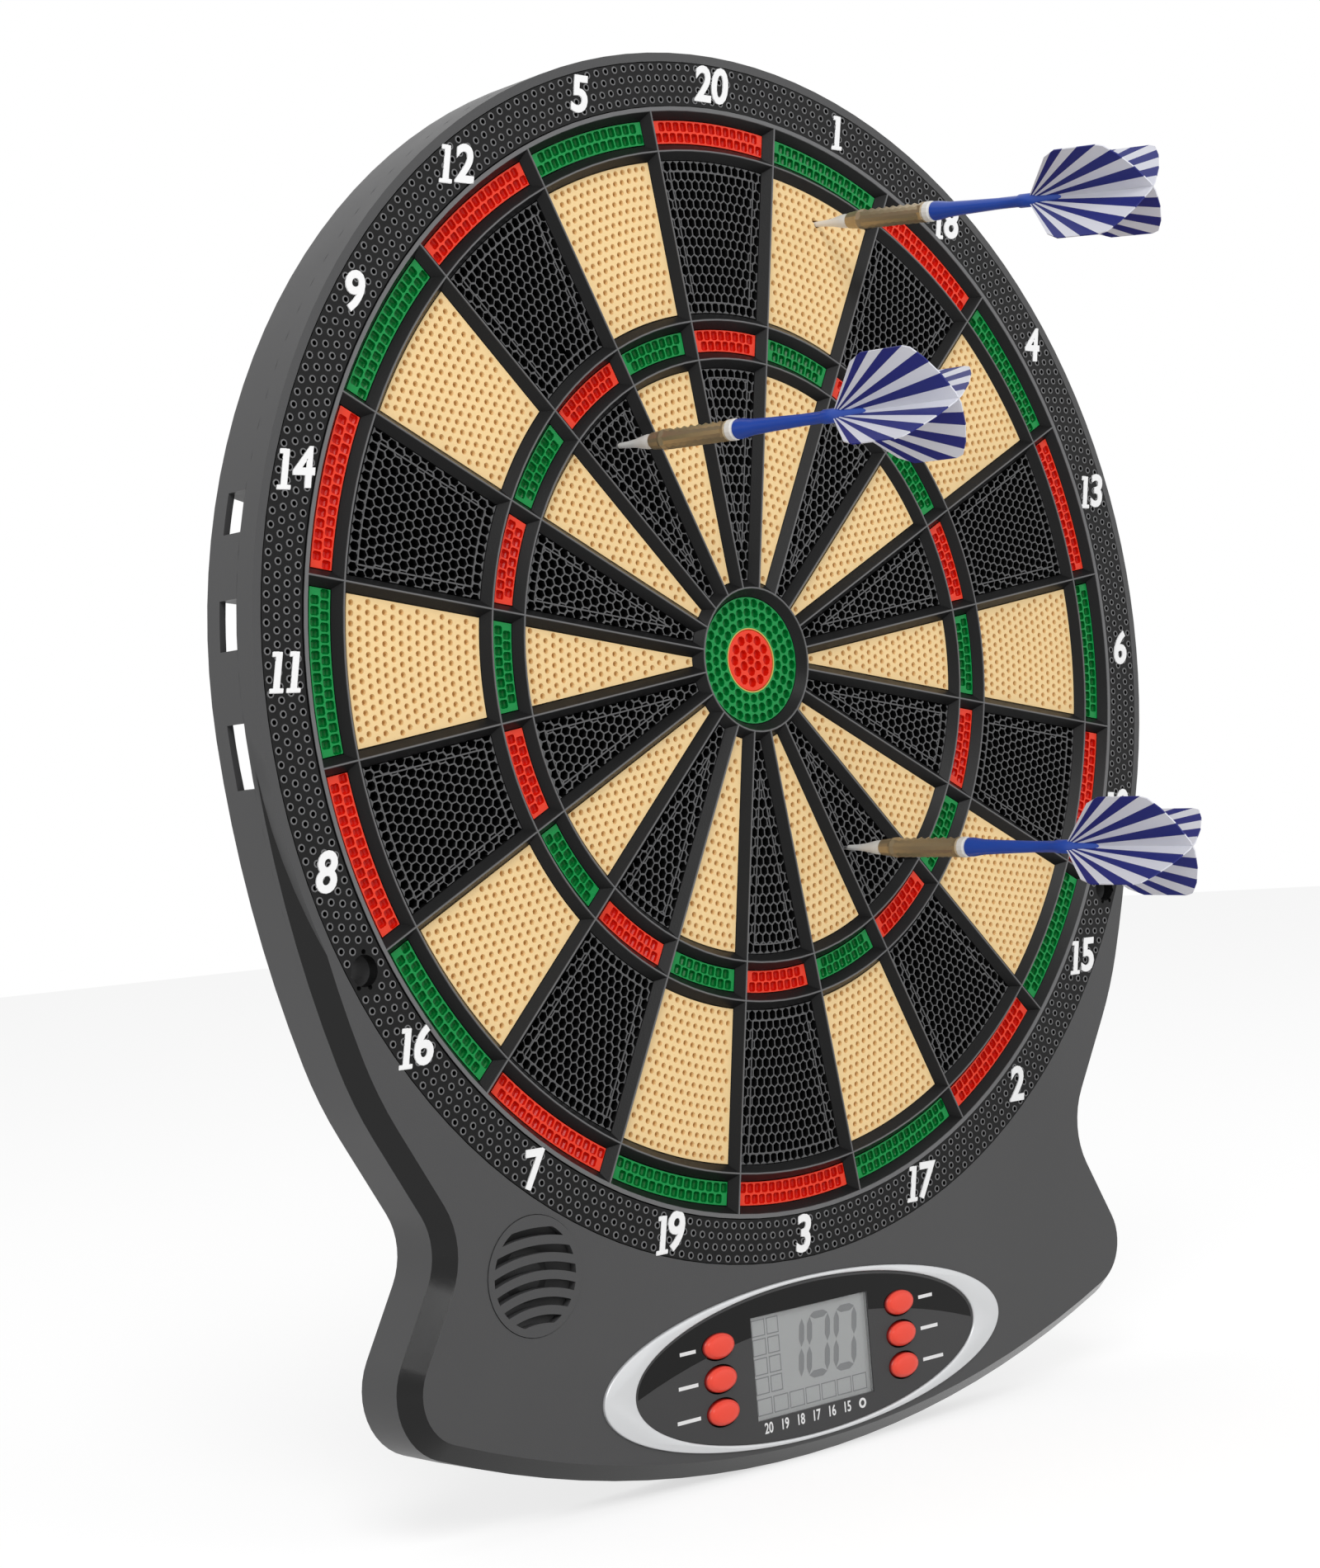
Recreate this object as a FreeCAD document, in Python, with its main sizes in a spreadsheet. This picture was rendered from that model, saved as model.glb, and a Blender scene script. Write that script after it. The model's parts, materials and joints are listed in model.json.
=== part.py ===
"""Electronic soft-tip dartboard cabinet with its three darts, as a parametric assembly.

Every piece is drawn lying on its back: X to the right and Y up as seen from the front, and Z the
height above the wall plane. STAND then turns it upright, so that the finished frame has +X to the
right, +Y into the wall and +Z up, with the origin on the bull's axis in the wall plane.
"""
import FreeCAD, Part
import math
import os
import re
import Sketcher

V = FreeCAD.Vector
doc = FreeCAD.newDocument("dartboard")

# ---------------------------------------------------------------- driving dimensions, millimetres
SIZES = {
    # heights above the wall plane
    "web_crest": 22.0, "face_height": 21.5, "seam_height": 14.0, "floor_thick": 2.0,
    "web_back": 15.0, "slope_depth": 3.0, "board_base": 6.2, "board_thick": 3.0,
    "sheet_thick": 0.25, "mat_thick": 1.6,
    # target rings, at the crests of the web
    "double_outer": 171.5, "double_width": 12.5, "treble_outer": 106.3, "treble_width": 12.1,
    "bull_ring": 22.5, "red_bull": 9.7, "web_half": 2.4, "crest_half": 0.15, "web_rim": 1.1,
    # segments
    "segment_gap": 0.3, "flange_inset": 0.6, "flange_thick": 1.8, "segment_travel": 1.2,
    "travel_spare": 0.2,
    # casing outline
    "head_radius": 189.3, "wall_thick": 2.0, "cheek_radius": 360.0, "shoulder_radius": 120.0,
    "neck_length": 27.0, "waist_radius": 20.0, "base_corner": 20.0, "bottom_radius": 400.0,
    "bottom_drop": 248.2, "bevel_width": 5.0, "bevel_depth": 5.5,
    "cheek_start": 5.0, "cheek_end": 20.0, "neck_tilt": 31.5, "flare_tilt": 29.5,
    # catch ring
    "ring_opening": 186.6, "ring_gap": 0.3, "ring_thick": 3.7, "ring_lip": 1.6,
    "flange_reach": 0.4, "web_flange": 4.9, "web_flange_thick": 2.6,
    # wall screw holes
    "hang_spacing": 321.0, "hang_drop": 82.8, "hang_hole": 4.5, "hang_wall": 1.8,
    "keyhole_rise": 148.0, "keyhole_head": 4.5, "keyhole_neck": 2.2, "keyhole_travel": 8.0,
    # screws and posts
    "post_radius": 4.0, "post_height": 9.0, "post_bore": 1.7, "head_bore": 3.3, "head_seat": 2.6,
    "screw_circle": 180.6, "screw_radius": 1.25, "screw_head": 2.9, "screw_length": 13.0,
    "boss_radius": 3.6, "pilot_depth": 7.6,
    # supports under the target
    "seat_inner": 173.2, "seat_wall": 2.0, "rib_thick": 1.6, "sheet_radius": 172.5,
    # dart storage slots
    "slot_depth": 8.0, "well_inner": 178.0, "well_wall": 1.4,
    # control panel
    "panel_drop": 217.0, "bezel_width": 87.0, "bezel_height": 24.9, "bezel_thick": 2.0,
    "panel_width": 74.7, "panel_height": 23.7, "panel_thick": 1.4, "recess_depth": 1.0,
    "panel_hole_width": 70.0, "panel_hole_height": 20.0, "panel_fit": 0.15,
    "lcd_width": 51.0, "lcd_height": 31.4, "window_thick": 1.2, "lcd_border": 2.5, "lcd_thick": 2.3,
    "pcb_width": 150.0, "pcb_height": 40.0, "pcb_thick": 1.6, "pcb_front": 15.5,
    # buttons
    "button_reach": 40.0, "button_pitch": 10.0, "button_width": 6.5, "button_height": 4.2,
    "button_proud": 2.0, "button_gap": 0.25, "button_stop": 0.6, "button_travel": 1.2,
    # speaker
    "speaker_x": 108.6, "speaker_drop": 175.0, "grille_radius": 17.4, "grille_gap": 0.2,
    "speaker_radius": 19.0, "speaker_deep": 9.0,
    # battery bay
    "bay_left": 81.5, "bay_width": 57.0, "bay_top": 179.0, "bay_height": 33.0, "bay_wall": 1.5,
    "cell_radius": 7.1, "cell_length": 50.0, "door_gap": 0.3, "hinge_radius": 1.6, "pin_radius": 0.9,
    "pin_clear": 0.06, "pin_length": 1.2,
    # darts
    "dart_sunk": 5.0, "tip_bare": 14.5, "barrel_length": 36.5, "stem_length": 40.0,
    "flight_length": 45.0, "flight_span": 18.0, "flight_thick": 0.5, "barrel_radius": 3.2,
    "dart_hole": 1.25,
}
sheet = doc.addObject("Spreadsheet::Sheet", "Sizes")
for row, (alias, number) in enumerate(SIZES.items(), start=1):
    sheet.set("A%d" % row, alias)
    sheet.set("B%d" % row, str(number))
    sheet.setAlias("B%d" % row, alias)
doc.recompute()

STAND = FreeCAD.Placement(V(0, 0, 0), FreeCAD.Rotation(V(1, 0, 0), 90))
NUMBERS = 20
SECTOR = 360.0 / NUMBERS
WHITE_ODD = [i * SECTOR for i in range(1, NUMBERS, 2)]
BLACK_EVEN = [i * SECTOR for i in range(0, NUMBERS, 2)]
SCREW_BEARINGS = [20, 62, 107, 152, 208, 253, 298, 340]
CASE_SCREWS = [(128, -150), (-128, -150), (96, -229), (-96, -229)]
SLOTS = [(45, 12), (14, 14), (-22, 18)]          # height of each slot's centre, and its length
BUTTON_NAMES = ["upper", "middle", "lower"]
# each dart: name, where its point enters (x, y) in shares of the target's radius, and how far
# its tail droops in degrees
DARTS = [("dart_a", 0.267, 0.8204, 7.0), ("dart_b", -0.2781, 0.3848, 3.2),
         ("dart_c", 0.2192, -0.3557, 2.7)]
nodes = []


# ---------------------------------------------------------------- helpers
def bound(formula):
    """A formula in sheet names, written the way an expression reads them."""
    return re.sub(r"[a-z_]+", lambda m: "Sizes." + m.group() if m.group() in SIZES else m.group(),
                  formula)


def size(formula):
    """The number that a formula in sheet names stands for."""
    return float(sheet.evalExpression(bound(formula)))


def finish(piece, label, where=None):
    """Name a sub-part, stand it up and list it for writing."""
    piece.Label = label
    piece.Placement = STAND.multiply(where) if where else STAND
    nodes.append(piece)
    return piece


def shaped(label, shape, where=None):
    """A sub-part whose shape is worked out with Part's own functions."""
    piece = doc.addObject("Part::Feature", label)
    piece.Shape = shape
    return finish(piece, label, where)


def body(label, where=None):
    return finish(doc.addObject("PartDesign::Body", label), label, where)


def sketch(owner, name, role="XY_Plane", height="0"):
    drawing = owner.newObject("Sketcher::SketchObject", owner.Label + "_" + name)
    plane = [item for item in owner.Origin.OriginFeatures if item.Role == role][0]
    drawing.AttachmentSupport = (plane, [""])
    drawing.MapMode = "FlatFace"
    drawing.setExpression(".AttachmentOffset.Base.z", bound(height))
    return drawing


def hold_point(drawing, item, end, across, up):
    """Tie one point of a sketch to two formulas, measured from the sketch's origin."""
    for kind, formula in (("DistanceX", across), ("DistanceY", up)):
        index = drawing.addConstraint(
            Sketcher.Constraint(kind, -1, 1, item, end, size(formula)))
        drawing.setExpression("Constraints[%d]" % index, bound(formula))


def draw_circle(drawing, radius, across="0", up="0"):
    centre = V(size(across), size(up), 0)
    item = drawing.addGeometry(Part.Circle(centre, V(0, 0, 1), size(radius)), False)
    index = drawing.addConstraint(Sketcher.Constraint("Radius", item, size(radius)))
    drawing.setExpression("Constraints[%d]" % index, bound(radius))
    hold_point(drawing, item, 3, across, up)


def draw_polygon(drawing, points):
    spots = [V(size(across), size(up), 0) for across, up in points]
    first = len(drawing.Geometry)
    for spot, following in zip(spots, spots[1:] + spots[:1]):
        drawing.addGeometry(Part.LineSegment(spot, following), False)
    for step in range(len(points)):
        item, following = first + step, first + (step + 1) % len(points)
        drawing.addConstraint(Sketcher.Constraint("Coincident", item, 2, following, 1))
    for step, (across, up) in enumerate(points):
        hold_point(drawing, first + step, 1, across, up)


def draw_box(drawing, left, right, bottom, top):
    draw_polygon(drawing, [(left, bottom), (right, bottom), (right, top), (left, top)])


def feature(owner, kind, drawing, **settings):
    made = owner.newObject("PartDesign::" + kind, drawing.Name + "_" + kind.lower())
    made.Profile = drawing
    for name, setting in settings.items():
        if isinstance(setting, str):
            made.setExpression(name, bound(setting))
        else:
            setattr(made, name, setting)
    owner.Tip = made
    return made


def turned(label, profile, where=None):
    """A body of revolution about its own Z axis, from (radius, height) formulas."""
    piece = body(label, where)
    drawing = sketch(piece, "profile", "XZ_Plane")
    draw_polygon(drawing, profile)
    feature(piece, "Revolution", drawing, ReferenceAxis=(drawing, ["V_Axis"]), Angle=360.0)
    return piece


def disc(label, radius, base, thick):
    piece = body(label)
    drawing = sketch(piece, "outline", height=base)
    draw_circle(drawing, radius)
    feature(piece, "Pad", drawing, Length=thick)
    return piece


def at_bearing(radius, bearing):
    """A point at a radius, with its bearing measured clockwise from the top."""
    turn = math.radians(90 - bearing)
    return V(radius * math.cos(turn), radius * math.sin(turn), 0)


def cylinder(radius, low, high, x=0, y=0):
    return Part.makeCylinder(radius, high - low, V(x, y, low))


def box(left, right, bottom, top, low, high):
    return Part.makeBox(right - left, top - bottom, high - low, V(left, bottom, low))


def tube(outer, inner, low, high, x=0, y=0):
    return cylinder(outer, low, high, x, y).cut(cylinder(inner, low, high, x, y))


def arc_edge(start, middle, end):
    return Part.Arc(start, middle, end).toShape()


def prism(wire, low, high):
    raised = wire.translated(V(0, 0, low))
    return Part.Face(raised).extrude(V(0, 0, high - low))


def loft(lower, low, upper, high):
    wires = [lower.translated(V(0, 0, low)), upper.translated(V(0, 0, high))]
    return Part.makeLoft(wires, True, True)


def ellipse(half_width, half_height, x, y):
    """A closed ellipse whose longer axis lies along X."""
    curve = Part.Ellipse(V(x + half_width, y, 0), V(x, y + half_height, 0), V(x, y, 0))
    return Part.Wire([curve.toShape()])


def sector(inner, outer, half_angle, inset, bearing):
    """A ring sector with all four sides moved inwards by the same inset."""
    near, far = inner + inset, outer - inset

    def corner(radius, side):
        return at_bearing(radius, bearing + side * (half_angle - math.degrees(math.asin(inset / radius))))

    near_low, near_high = corner(near, -1), corner(near, 1)
    far_low, far_high = corner(far, -1), corner(far, 1)
    return Part.Wire([
        Part.LineSegment(near_low, far_low).toShape(),
        arc_edge(far_low, at_bearing(far, bearing), far_high),
        Part.LineSegment(far_high, near_high).toShape(),
        arc_edge(near_high, at_bearing(near, bearing), near_low)])


def group(solids):
    return Part.makeCompound(solids)


# ---------------------------------------------------------------- casing outline
def outward(tilt):
    """Outward direction of a wall whose run leans inwards by tilt degrees as it goes down."""
    return V(math.cos(math.radians(tilt)), -math.sin(math.radians(tilt)), 0)


def downward(tilt):
    return V(-math.sin(math.radians(tilt)), -math.cos(math.radians(tilt)), 0)


def right_side(inset):
    """The right-hand chain of arcs from the head circle down to the middle of the bottom.

    Each arc is (start, middle, end); straight runs join the end of one arc to the next start.
    """
    start, cheek, neck, flare = (size(name) for name in
                                 ("cheek_start", "cheek_end", "neck_tilt", "-flare_tilt"))
    head, cheek_r, shoulder_r = size("head_radius"), size("cheek_radius"), size("shoulder_radius")
    waist_r, corner_r, bottom_r = size("waist_radius"), size("base_corner"), size("bottom_radius")
    cheek_centre = outward(start) * (head - cheek_r)
    shoulder_centre = cheek_centre + outward(cheek) * (cheek_r - shoulder_r)
    waist_centre = (shoulder_centre + outward(neck) * (shoulder_r + waist_r)
                    + downward(neck) * size("neck_length"))
    flare_start = waist_centre - outward(flare) * waist_r
    bottom_centre = V(0, bottom_r - size("bottom_drop"), 0)
    # the base corner is tangent to the flare above it and to the bottom arc below it
    offset = flare_start - outward(flare) * corner_r - bottom_centre
    along = offset.dot(downward(flare))
    run = -along + math.sqrt(along ** 2 - offset.dot(offset) + (bottom_r - corner_r) ** 2)
    corner_centre = bottom_centre + offset + downward(flare) * run
    foot = math.degrees(math.atan2(-(corner_centre - bottom_centre).y,
                                   (corner_centre - bottom_centre).x))

    def sweep(centre, radius, first, last):
        return [centre + outward(tilt) * radius for tilt in (first, (first + last) / 2, last)]

    return [sweep(cheek_centre, cheek_r - inset, start, cheek),
            sweep(shoulder_centre, shoulder_r - inset, cheek, neck),
            sweep(waist_centre, -(waist_r + inset), neck, flare),
            sweep(corner_centre, corner_r - inset, flare, foot),
            sweep(bottom_centre, bottom_r - inset, foot, 90)]


def outline(inset, whole_head):
    """The casing's front view; without the whole head it is closed by a chord under the head."""
    arcs = right_side(inset)
    edges = []
    for step, (start, middle, end) in enumerate(arcs):
        edges.append(arc_edge(start, middle, end))
        if step + 1 < len(arcs) and end.distanceToPoint(arcs[step + 1][0]) > 1e-6:
            edges.append(Part.LineSegment(end, arcs[step + 1][0]).toShape())
    mirrored = [edge.mirror(V(0, 0, 0), V(1, 0, 0)) for edge in edges]
    top = arcs[0][0]
    left_top = V(-top.x, top.y, 0)
    if whole_head:
        closing = arc_edge(top, V(0, size("head_radius") - inset, 0), left_top)
    else:
        closing = Part.LineSegment(top, left_top).toShape()
    return Part.Wire(Part.__sortEdges__(edges + mirrored + [closing]))


def hang_spots():
    return [(side * size("hang_spacing") / 2, -size("hang_drop")) for side in (-1, 1)]


def post_spots():
    ring = [at_bearing(size("screw_circle"), bearing) for bearing in SCREW_BEARINGS]
    return [(spot.x, spot.y) for spot in ring]


# ---------------------------------------------------------------- casing
def front_shell():
    head, wall = size("head_radius"), size("wall_thick")
    seam, face = size("seam_height"), size("face_height")
    knee, ceiling = size("face_height - bevel_depth"), face - wall
    solid = prism(outline(0, True), seam, knee)
    solid = solid.fuse(cylinder(head, knee, face))
    solid = solid.fuse(loft(outline(0, False), knee, outline(size("bevel_width"), False), face))
    inner_knee = knee - 0.4 * wall
    inner_inset = wall + size("bevel_width / bevel_depth") * (ceiling - inner_knee)
    solid = solid.cut(prism(outline(wall, True), seam, inner_knee))
    solid = solid.cut(cylinder(head - wall, inner_knee, ceiling))
    solid = solid.cut(loft(outline(wall, False), inner_knee, outline(inner_inset, False), ceiling))
    posts = []
    for x, y in CASE_SCREWS:
        posts.append(tube(size("boss_radius"), size("screw_radius"), size("post_height"), ceiling, x, y))
    for x, y in board_posts():
        posts.append(tube(3.0, 0.9, size("pcb_front"), ceiling, x, y))
    posts.append(tube(size("speaker_radius + 1.6"), size("speaker_radius + 0.3"), seam, ceiling,
                      -size("speaker_x"), -size("speaker_drop")))
    solid = solid.fuse(posts).cut(cylinder(head - wall, seam, ceiling))
    drop = -size("panel_drop")
    fit = size("panel_fit")
    recess = ellipse(size("bezel_width") + fit, size("bezel_height") + fit, 0, drop)
    through = ellipse(size("panel_hole_width"), size("panel_hole_height"), 0, drop)
    cuts = [cylinder(size("ring_opening"), seam, face),
            prism(recess, size("face_height - recess_depth"), face + 1),
            prism(through, ceiling - 1, face + 1),
            cylinder(size("grille_radius + grille_gap"), ceiling - 1, face + 1,
                     -size("speaker_x"), -size("speaker_drop"))]
    for cutter in cuts:
        solid = solid.cut(cutter)
    return solid


def board_posts():
    reach, rise = size("pcb_width / 2 - 5"), size("pcb_height / 2 - 4")
    drop = -size("panel_drop")
    return [(side * (reach - 1), drop + up * rise * 0.45) for side in (-1, 1) for up in (-1, 1)]


def slot_wells(side):
    """For each dart slot: its bearing, its well's half angle and the slot cutter."""
    seam, head = size("seam_height"), size("head_radius")
    for centre, length in SLOTS:
        bearing = side * (90 - math.degrees(math.asin(centre / head)))
        half_angle = math.degrees((length / 2 + 1.0) / head)
        cutter = box(-length / 2, length / 2, size("well_inner") + 2, head + 3,
                     seam - size("slot_depth"), seam + 1)
        yield bearing, half_angle, cutter.rotated(V(0, 0, 0), V(0, 0, 1), -bearing)


def rear_shell():
    seam, floor, wall = size("seam_height"), size("floor_thick"), size("wall_thick")
    head = size("head_radius")
    solid = prism(outline(0, True), 0, seam).cut(prism(outline(wall, True), floor, seam))
    seat, rib = size("seat_inner"), size("rib_thick")
    base = size("board_base")
    added = [tube(seat + size("seat_wall"), seat, floor, size("web_back")),
             tube(60 + rib, 60, floor, base), tube(120 + rib, 120, floor, base)]
    for step in range(8):
        rib_box = box(-rib / 2, rib / 2, 22, seat + 0.5, floor, base)
        added.append(rib_box.rotated(V(0, 0, 0), V(0, 0, 1), 22.5 + 45 * step))
    for x, y in post_spots() + CASE_SCREWS:
        added.append(cylinder(size("post_radius"), floor, size("post_height"), x, y))
    hang = size("hang_hole")
    for x, y in hang_spots():
        added.append(cylinder(hang + size("hang_wall"), floor, size("face_height - ring_thick"), x, y))
    cuts = []
    well_wall = size("well_wall")
    for side in (-1, 1):
        for bearing, half_angle, cutter in slot_wells(side):
            extra = math.degrees(well_wall / head)
            outer_wire = sector(size("well_inner") - well_wall, head - wall + 0.4,
                                half_angle + extra, 0, bearing)
            inner_wire = sector(size("well_inner"), head - wall, half_angle, 0, bearing)
            added.append(prism(outer_wire, floor, seam))
            cuts += [prism(inner_wire, -1, seam + 1), cutter]
    left, right, top, bottom = bay_box()
    bay_wall = size("bay_wall")
    bay_ceiling = size("pcb_front + 1.7")
    added.append(box(left - bay_wall, right + bay_wall, bottom - bay_wall, top + bay_wall,
                     floor, bay_ceiling))
    cuts.append(box(left, right, bottom, top, -1, bay_ceiling - 0.001))
    pin = size("pin_radius + pin_clear")
    hinge = V(left + size("hinge_radius + door_gap"), 0, size("hinge_radius"))
    cuts.append(Part.makeCylinder(pin, top - bottom + 2.6, V(hinge.x, bottom - 1.3, hinge.z),
                                  V(0, 1, 0)))
    for x, y in post_spots() + CASE_SCREWS:
        cuts.append(cylinder(size("post_bore"), -1, size("post_height") + 1, x, y))
        cuts.append(cylinder(size("head_bore"), -1, size("head_seat"), x, y))
    for x, y in hang_spots():
        cuts.append(cylinder(hang, -1, seam + 6, x, y))
    rise = size("keyhole_rise")
    neck, travel = size("keyhole_neck"), size("keyhole_travel")
    cuts.append(cylinder(size("keyhole_head"), -1, floor + 1, 0, rise))
    cuts.append(box(-neck, neck, rise, rise + travel, -1, floor + 1))
    cuts.append(cylinder(neck, -1, floor + 1, 0, rise + travel))
    for side in (-1, 1):
        cuts.append(box(side * 28 - 9, side * 28 + 9, -178, -168, 8.4, 11))
    for piece in added:
        solid = solid.fuse(piece)
    for cutter in cuts:
        solid = solid.cut(cutter)
    return solid.removeSplitter()


def bay_box():
    left, top = size("bay_left"), -size("bay_top")
    return left, left + size("bay_width"), top, top - size("bay_height")


def battery_door():
    left, right, top, bottom = bay_box()
    gap, knuckle, pin = size("door_gap"), size("hinge_radius"), size("pin_radius")
    hinge_x = left + knuckle + gap
    length = top - bottom - 2 * gap
    leaf = box(hinge_x, right - gap, bottom + gap, top - gap, 0, size("floor_thick"))
    barrel = Part.makeCylinder(knuckle, length, V(hinge_x, bottom + gap, knuckle), V(0, 1, 0))
    rod = Part.makeCylinder(pin, length + 2 * (gap + size("pin_length")) - 0.2,
                            V(hinge_x, bottom - size("pin_length") + 0.1, knuckle), V(0, 1, 0))
    pull = box(right - gap - 4, right - gap - 2.5, (top + bottom) / 2 - 8, (top + bottom) / 2 + 8,
               -1, 0.8)
    return leaf.fuse([barrel, rod]).cut(pull)


# ---------------------------------------------------------------- target
def ring_windows():
    """(inner radius, outer radius) of the four rings of windows in the web."""
    double_inner = size("double_outer - double_width")
    treble_inner = size("treble_outer - treble_width")
    return {"double": (double_inner, size("double_outer")),
            "outer": (size("treble_outer"), double_inner),
            "treble": (treble_inner, size("treble_outer")),
            "inner": (size("bull_ring"), treble_inner)}


def spider_web():
    crest, slope, back = size("web_crest"), size("web_crest - slope_depth"), size("web_back")
    half = SECTOR / 2
    solid = cylinder(size("double_outer + web_rim"), back, crest)
    solid = solid.fuse(cylinder(size("double_outer + web_flange"), back,
                                back + size("web_flange_thick")))
    cutters = []
    for inner, outer in ring_windows().values():
        wide = sector(inner, outer, half, size("crest_half"), 0)
        narrow = sector(inner, outer, half, size("web_half"), 0)
        window = prism(narrow, back, slope).fuse(loft(narrow, slope, wide, crest))
        for step in range(NUMBERS):
            cutters.append(window.rotated(V(0, 0, 0), V(0, 0, 1), step * SECTOR))
    for x, y in hang_spots():
        cutters.append(cylinder(size("hang_hole + hang_wall + ring_gap"), back, crest, x, y))
    bull = size("bull_ring")
    cutters.append(cylinder(bull - size("web_half"), back, slope))
    cutters.append(Part.makeCone(bull - size("web_half"), bull - size("crest_half"), crest - slope,
                                 V(0, 0, slope)))
    return solid.cut(cutters)


def segment_base():
    return size("board_base + board_thick + 3 * sheet_thick + mat_thick + segment_travel + travel_spare")


def segment_solid(inner, outer, bearing):
    low = segment_base()
    top = size("web_crest - slope_depth")
    inset = size("web_half + segment_gap")
    key = prism(sector(inner, outer, SECTOR / 2, inset, bearing), low, top)
    flange = prism(sector(inner, outer, SECTOR / 2, size("flange_inset"), bearing), low,
                   low + size("flange_thick"))
    return key.fuse(flange).removeSplitter()


def dart_place(x, y, droop):
    """Placement of a dart: its local Z runs from the buried point out through the tail."""
    tail = V(0, -math.sin(math.radians(droop)), math.cos(math.radians(droop)))
    radius = size("double_outer")
    entry = V(x * radius, y * radius, size("web_crest - slope_depth"))
    return FreeCAD.Placement(entry - tail * size("dart_sunk"), FreeCAD.Rotation(V(0, 0, 1), tail))


def segments(ring, bearings):
    inner, outer = ring_windows()[ring]
    solids = [segment_solid(inner, outer, bearing) for bearing in bearings]
    holes = []
    for _, x, y, droop in DARTS:
        hole = Part.makeCylinder(size("dart_hole"), size("dart_sunk") + 6, V(0, 0, -0.6))
        hole.Placement = dart_place(x, y, droop)
        holes.append(hole)
    return group([solid.cut(holes) for solid in solids])


def bull_bodies():
    low = "board_base + board_thick + 3 * sheet_thick + mat_thick + segment_travel + travel_spare"
    top = "web_crest - slope_depth"
    flange_top = low + " + flange_thick"
    edge = "bull_ring - web_half - segment_gap"
    lip = flange_top + " + segment_travel + travel_spare"
    turned("outer_bull", [
        ("red_bull + 2.6", low), ("bull_ring - flange_inset", low),
        ("bull_ring - flange_inset", flange_top), (edge, flange_top), (edge, top),
        ("red_bull + segment_gap", top), ("red_bull + segment_gap", lip), ("red_bull + 2.6", lip)])
    turned("inner_bull", [
        ("0", low), ("red_bull + 2.2", low), ("red_bull + 2.2", flange_top),
        ("red_bull", flange_top), ("red_bull", top), ("0", top)])


def catch_ring():
    top, back = "face_height", "face_height - ring_thick"
    rim = "ring_opening - ring_gap"
    reach = "ring_opening + flange_reach"
    piece = turned("catch_ring", [
        ("double_outer + web_rim + ring_gap", back), (reach, back), (reach, back + " + ring_lip"),
        (rim, back + " + ring_lip"), (rim, top), ("double_outer + web_rim + ring_gap", top)])
    bosses = sketch(piece, "bosses", height="post_height")
    for bearing in SCREW_BEARINGS:
        draw_circle(bosses, "boss_radius", *bearing_formulas("screw_circle", bearing))
    feature(piece, "Pad", bosses, Length="face_height - ring_thick - post_height + 0.5")
    pilots = sketch(piece, "pilots", height="post_height")
    for bearing in SCREW_BEARINGS:
        draw_circle(pilots, "screw_radius", *bearing_formulas("screw_circle", bearing))
    feature(piece, "Pocket", pilots, Length="pilot_depth", Reversed=True)
    holes = sketch(piece, "wall_holes", height="face_height")
    for side in ("", "-"):
        draw_circle(holes, "hang_hole", side + "hang_spacing / 2", "-hang_drop")
    feature(piece, "Pocket", holes, Length="ring_thick + 1")
    return piece


def bearing_formulas(radius, bearing):
    turn = 90 - bearing
    return "%s * cos(%d deg)" % (radius, turn), "%s * sin(%d deg)" % (radius, turn)


def screw(x, y):
    seat = size("head_seat")
    head = cylinder(size("screw_head"), 0.4, seat, x, y)
    return head.fuse(cylinder(size("screw_radius"), seat, size("screw_length"), x, y))


# ---------------------------------------------------------------- control panel
def panel_pieces():
    drop, fit = -size("panel_drop"), size("panel_fit")
    ledge = size("face_height - recess_depth")
    outer = ellipse(size("bezel_width"), size("bezel_height"), 0, drop)
    inner = ellipse(size("panel_width"), size("panel_height"), 0, drop)
    bezel = prism(outer, ledge, ledge + size("bezel_thick"))
    bezel = bezel.cut(prism(inner, ledge - 1, ledge + size("bezel_thick") + 1))
    shaped("panel_bezel", bezel)
    face_top = ledge + size("panel_thick")
    face = prism(ellipse(size("panel_width") - fit, size("panel_height") - fit, 0, drop), ledge,
                 face_top)
    half_w, half_h = size("lcd_width / 2") + fit, size("lcd_height / 2") + fit
    face = face.cut(box(-half_w, half_w, drop - half_h, drop + half_h, ledge - 1, face_top + 1))
    gap = size("button_gap")
    for x, y, _ in button_spots():
        hole = ellipse(size("button_width") + gap, size("button_height") + gap, x, y)
        face = face.cut(prism(hole, ledge - 1, face_top + 1))
    shaped("panel_face", face)


def button_spots():
    spots = []
    for side, word in ((-1, "left"), (1, "right")):
        for step, name in enumerate(BUTTON_NAMES):
            y = -size("panel_drop") + (1 - step) * size("button_pitch")
            spots.append((side * size("button_reach"), y, "button_%s_%s" % (word, name)))
    return spots


def button(x, y, label):
    """A domed oval cap with a stop flange and a plunger."""
    ledge = size("face_height - recess_depth")
    top = ledge + size("panel_thick + button_proud")
    half_w, half_h = size("button_width"), size("button_height")
    stop = size("button_stop")
    flange = prism(ellipse(half_w + stop, half_h + stop, x, y), ledge - 1.1, ledge - 0.1)
    shank = prism(ellipse(half_w, half_h, x, y), ledge - 0.1, top - 1.2)
    dome = loft(ellipse(half_w, half_h, x, y), top - 1.2, ellipse(half_w - 1.6, half_h - 1.3, x, y), top)
    plunger = cylinder(1.8, button_foot(), ledge - 1.1, x, y)
    shaped(label, flange.fuse([shank, dome, plunger]).removeSplitter())


def button_foot():
    return size("face_height - recess_depth - 1.6")


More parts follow.
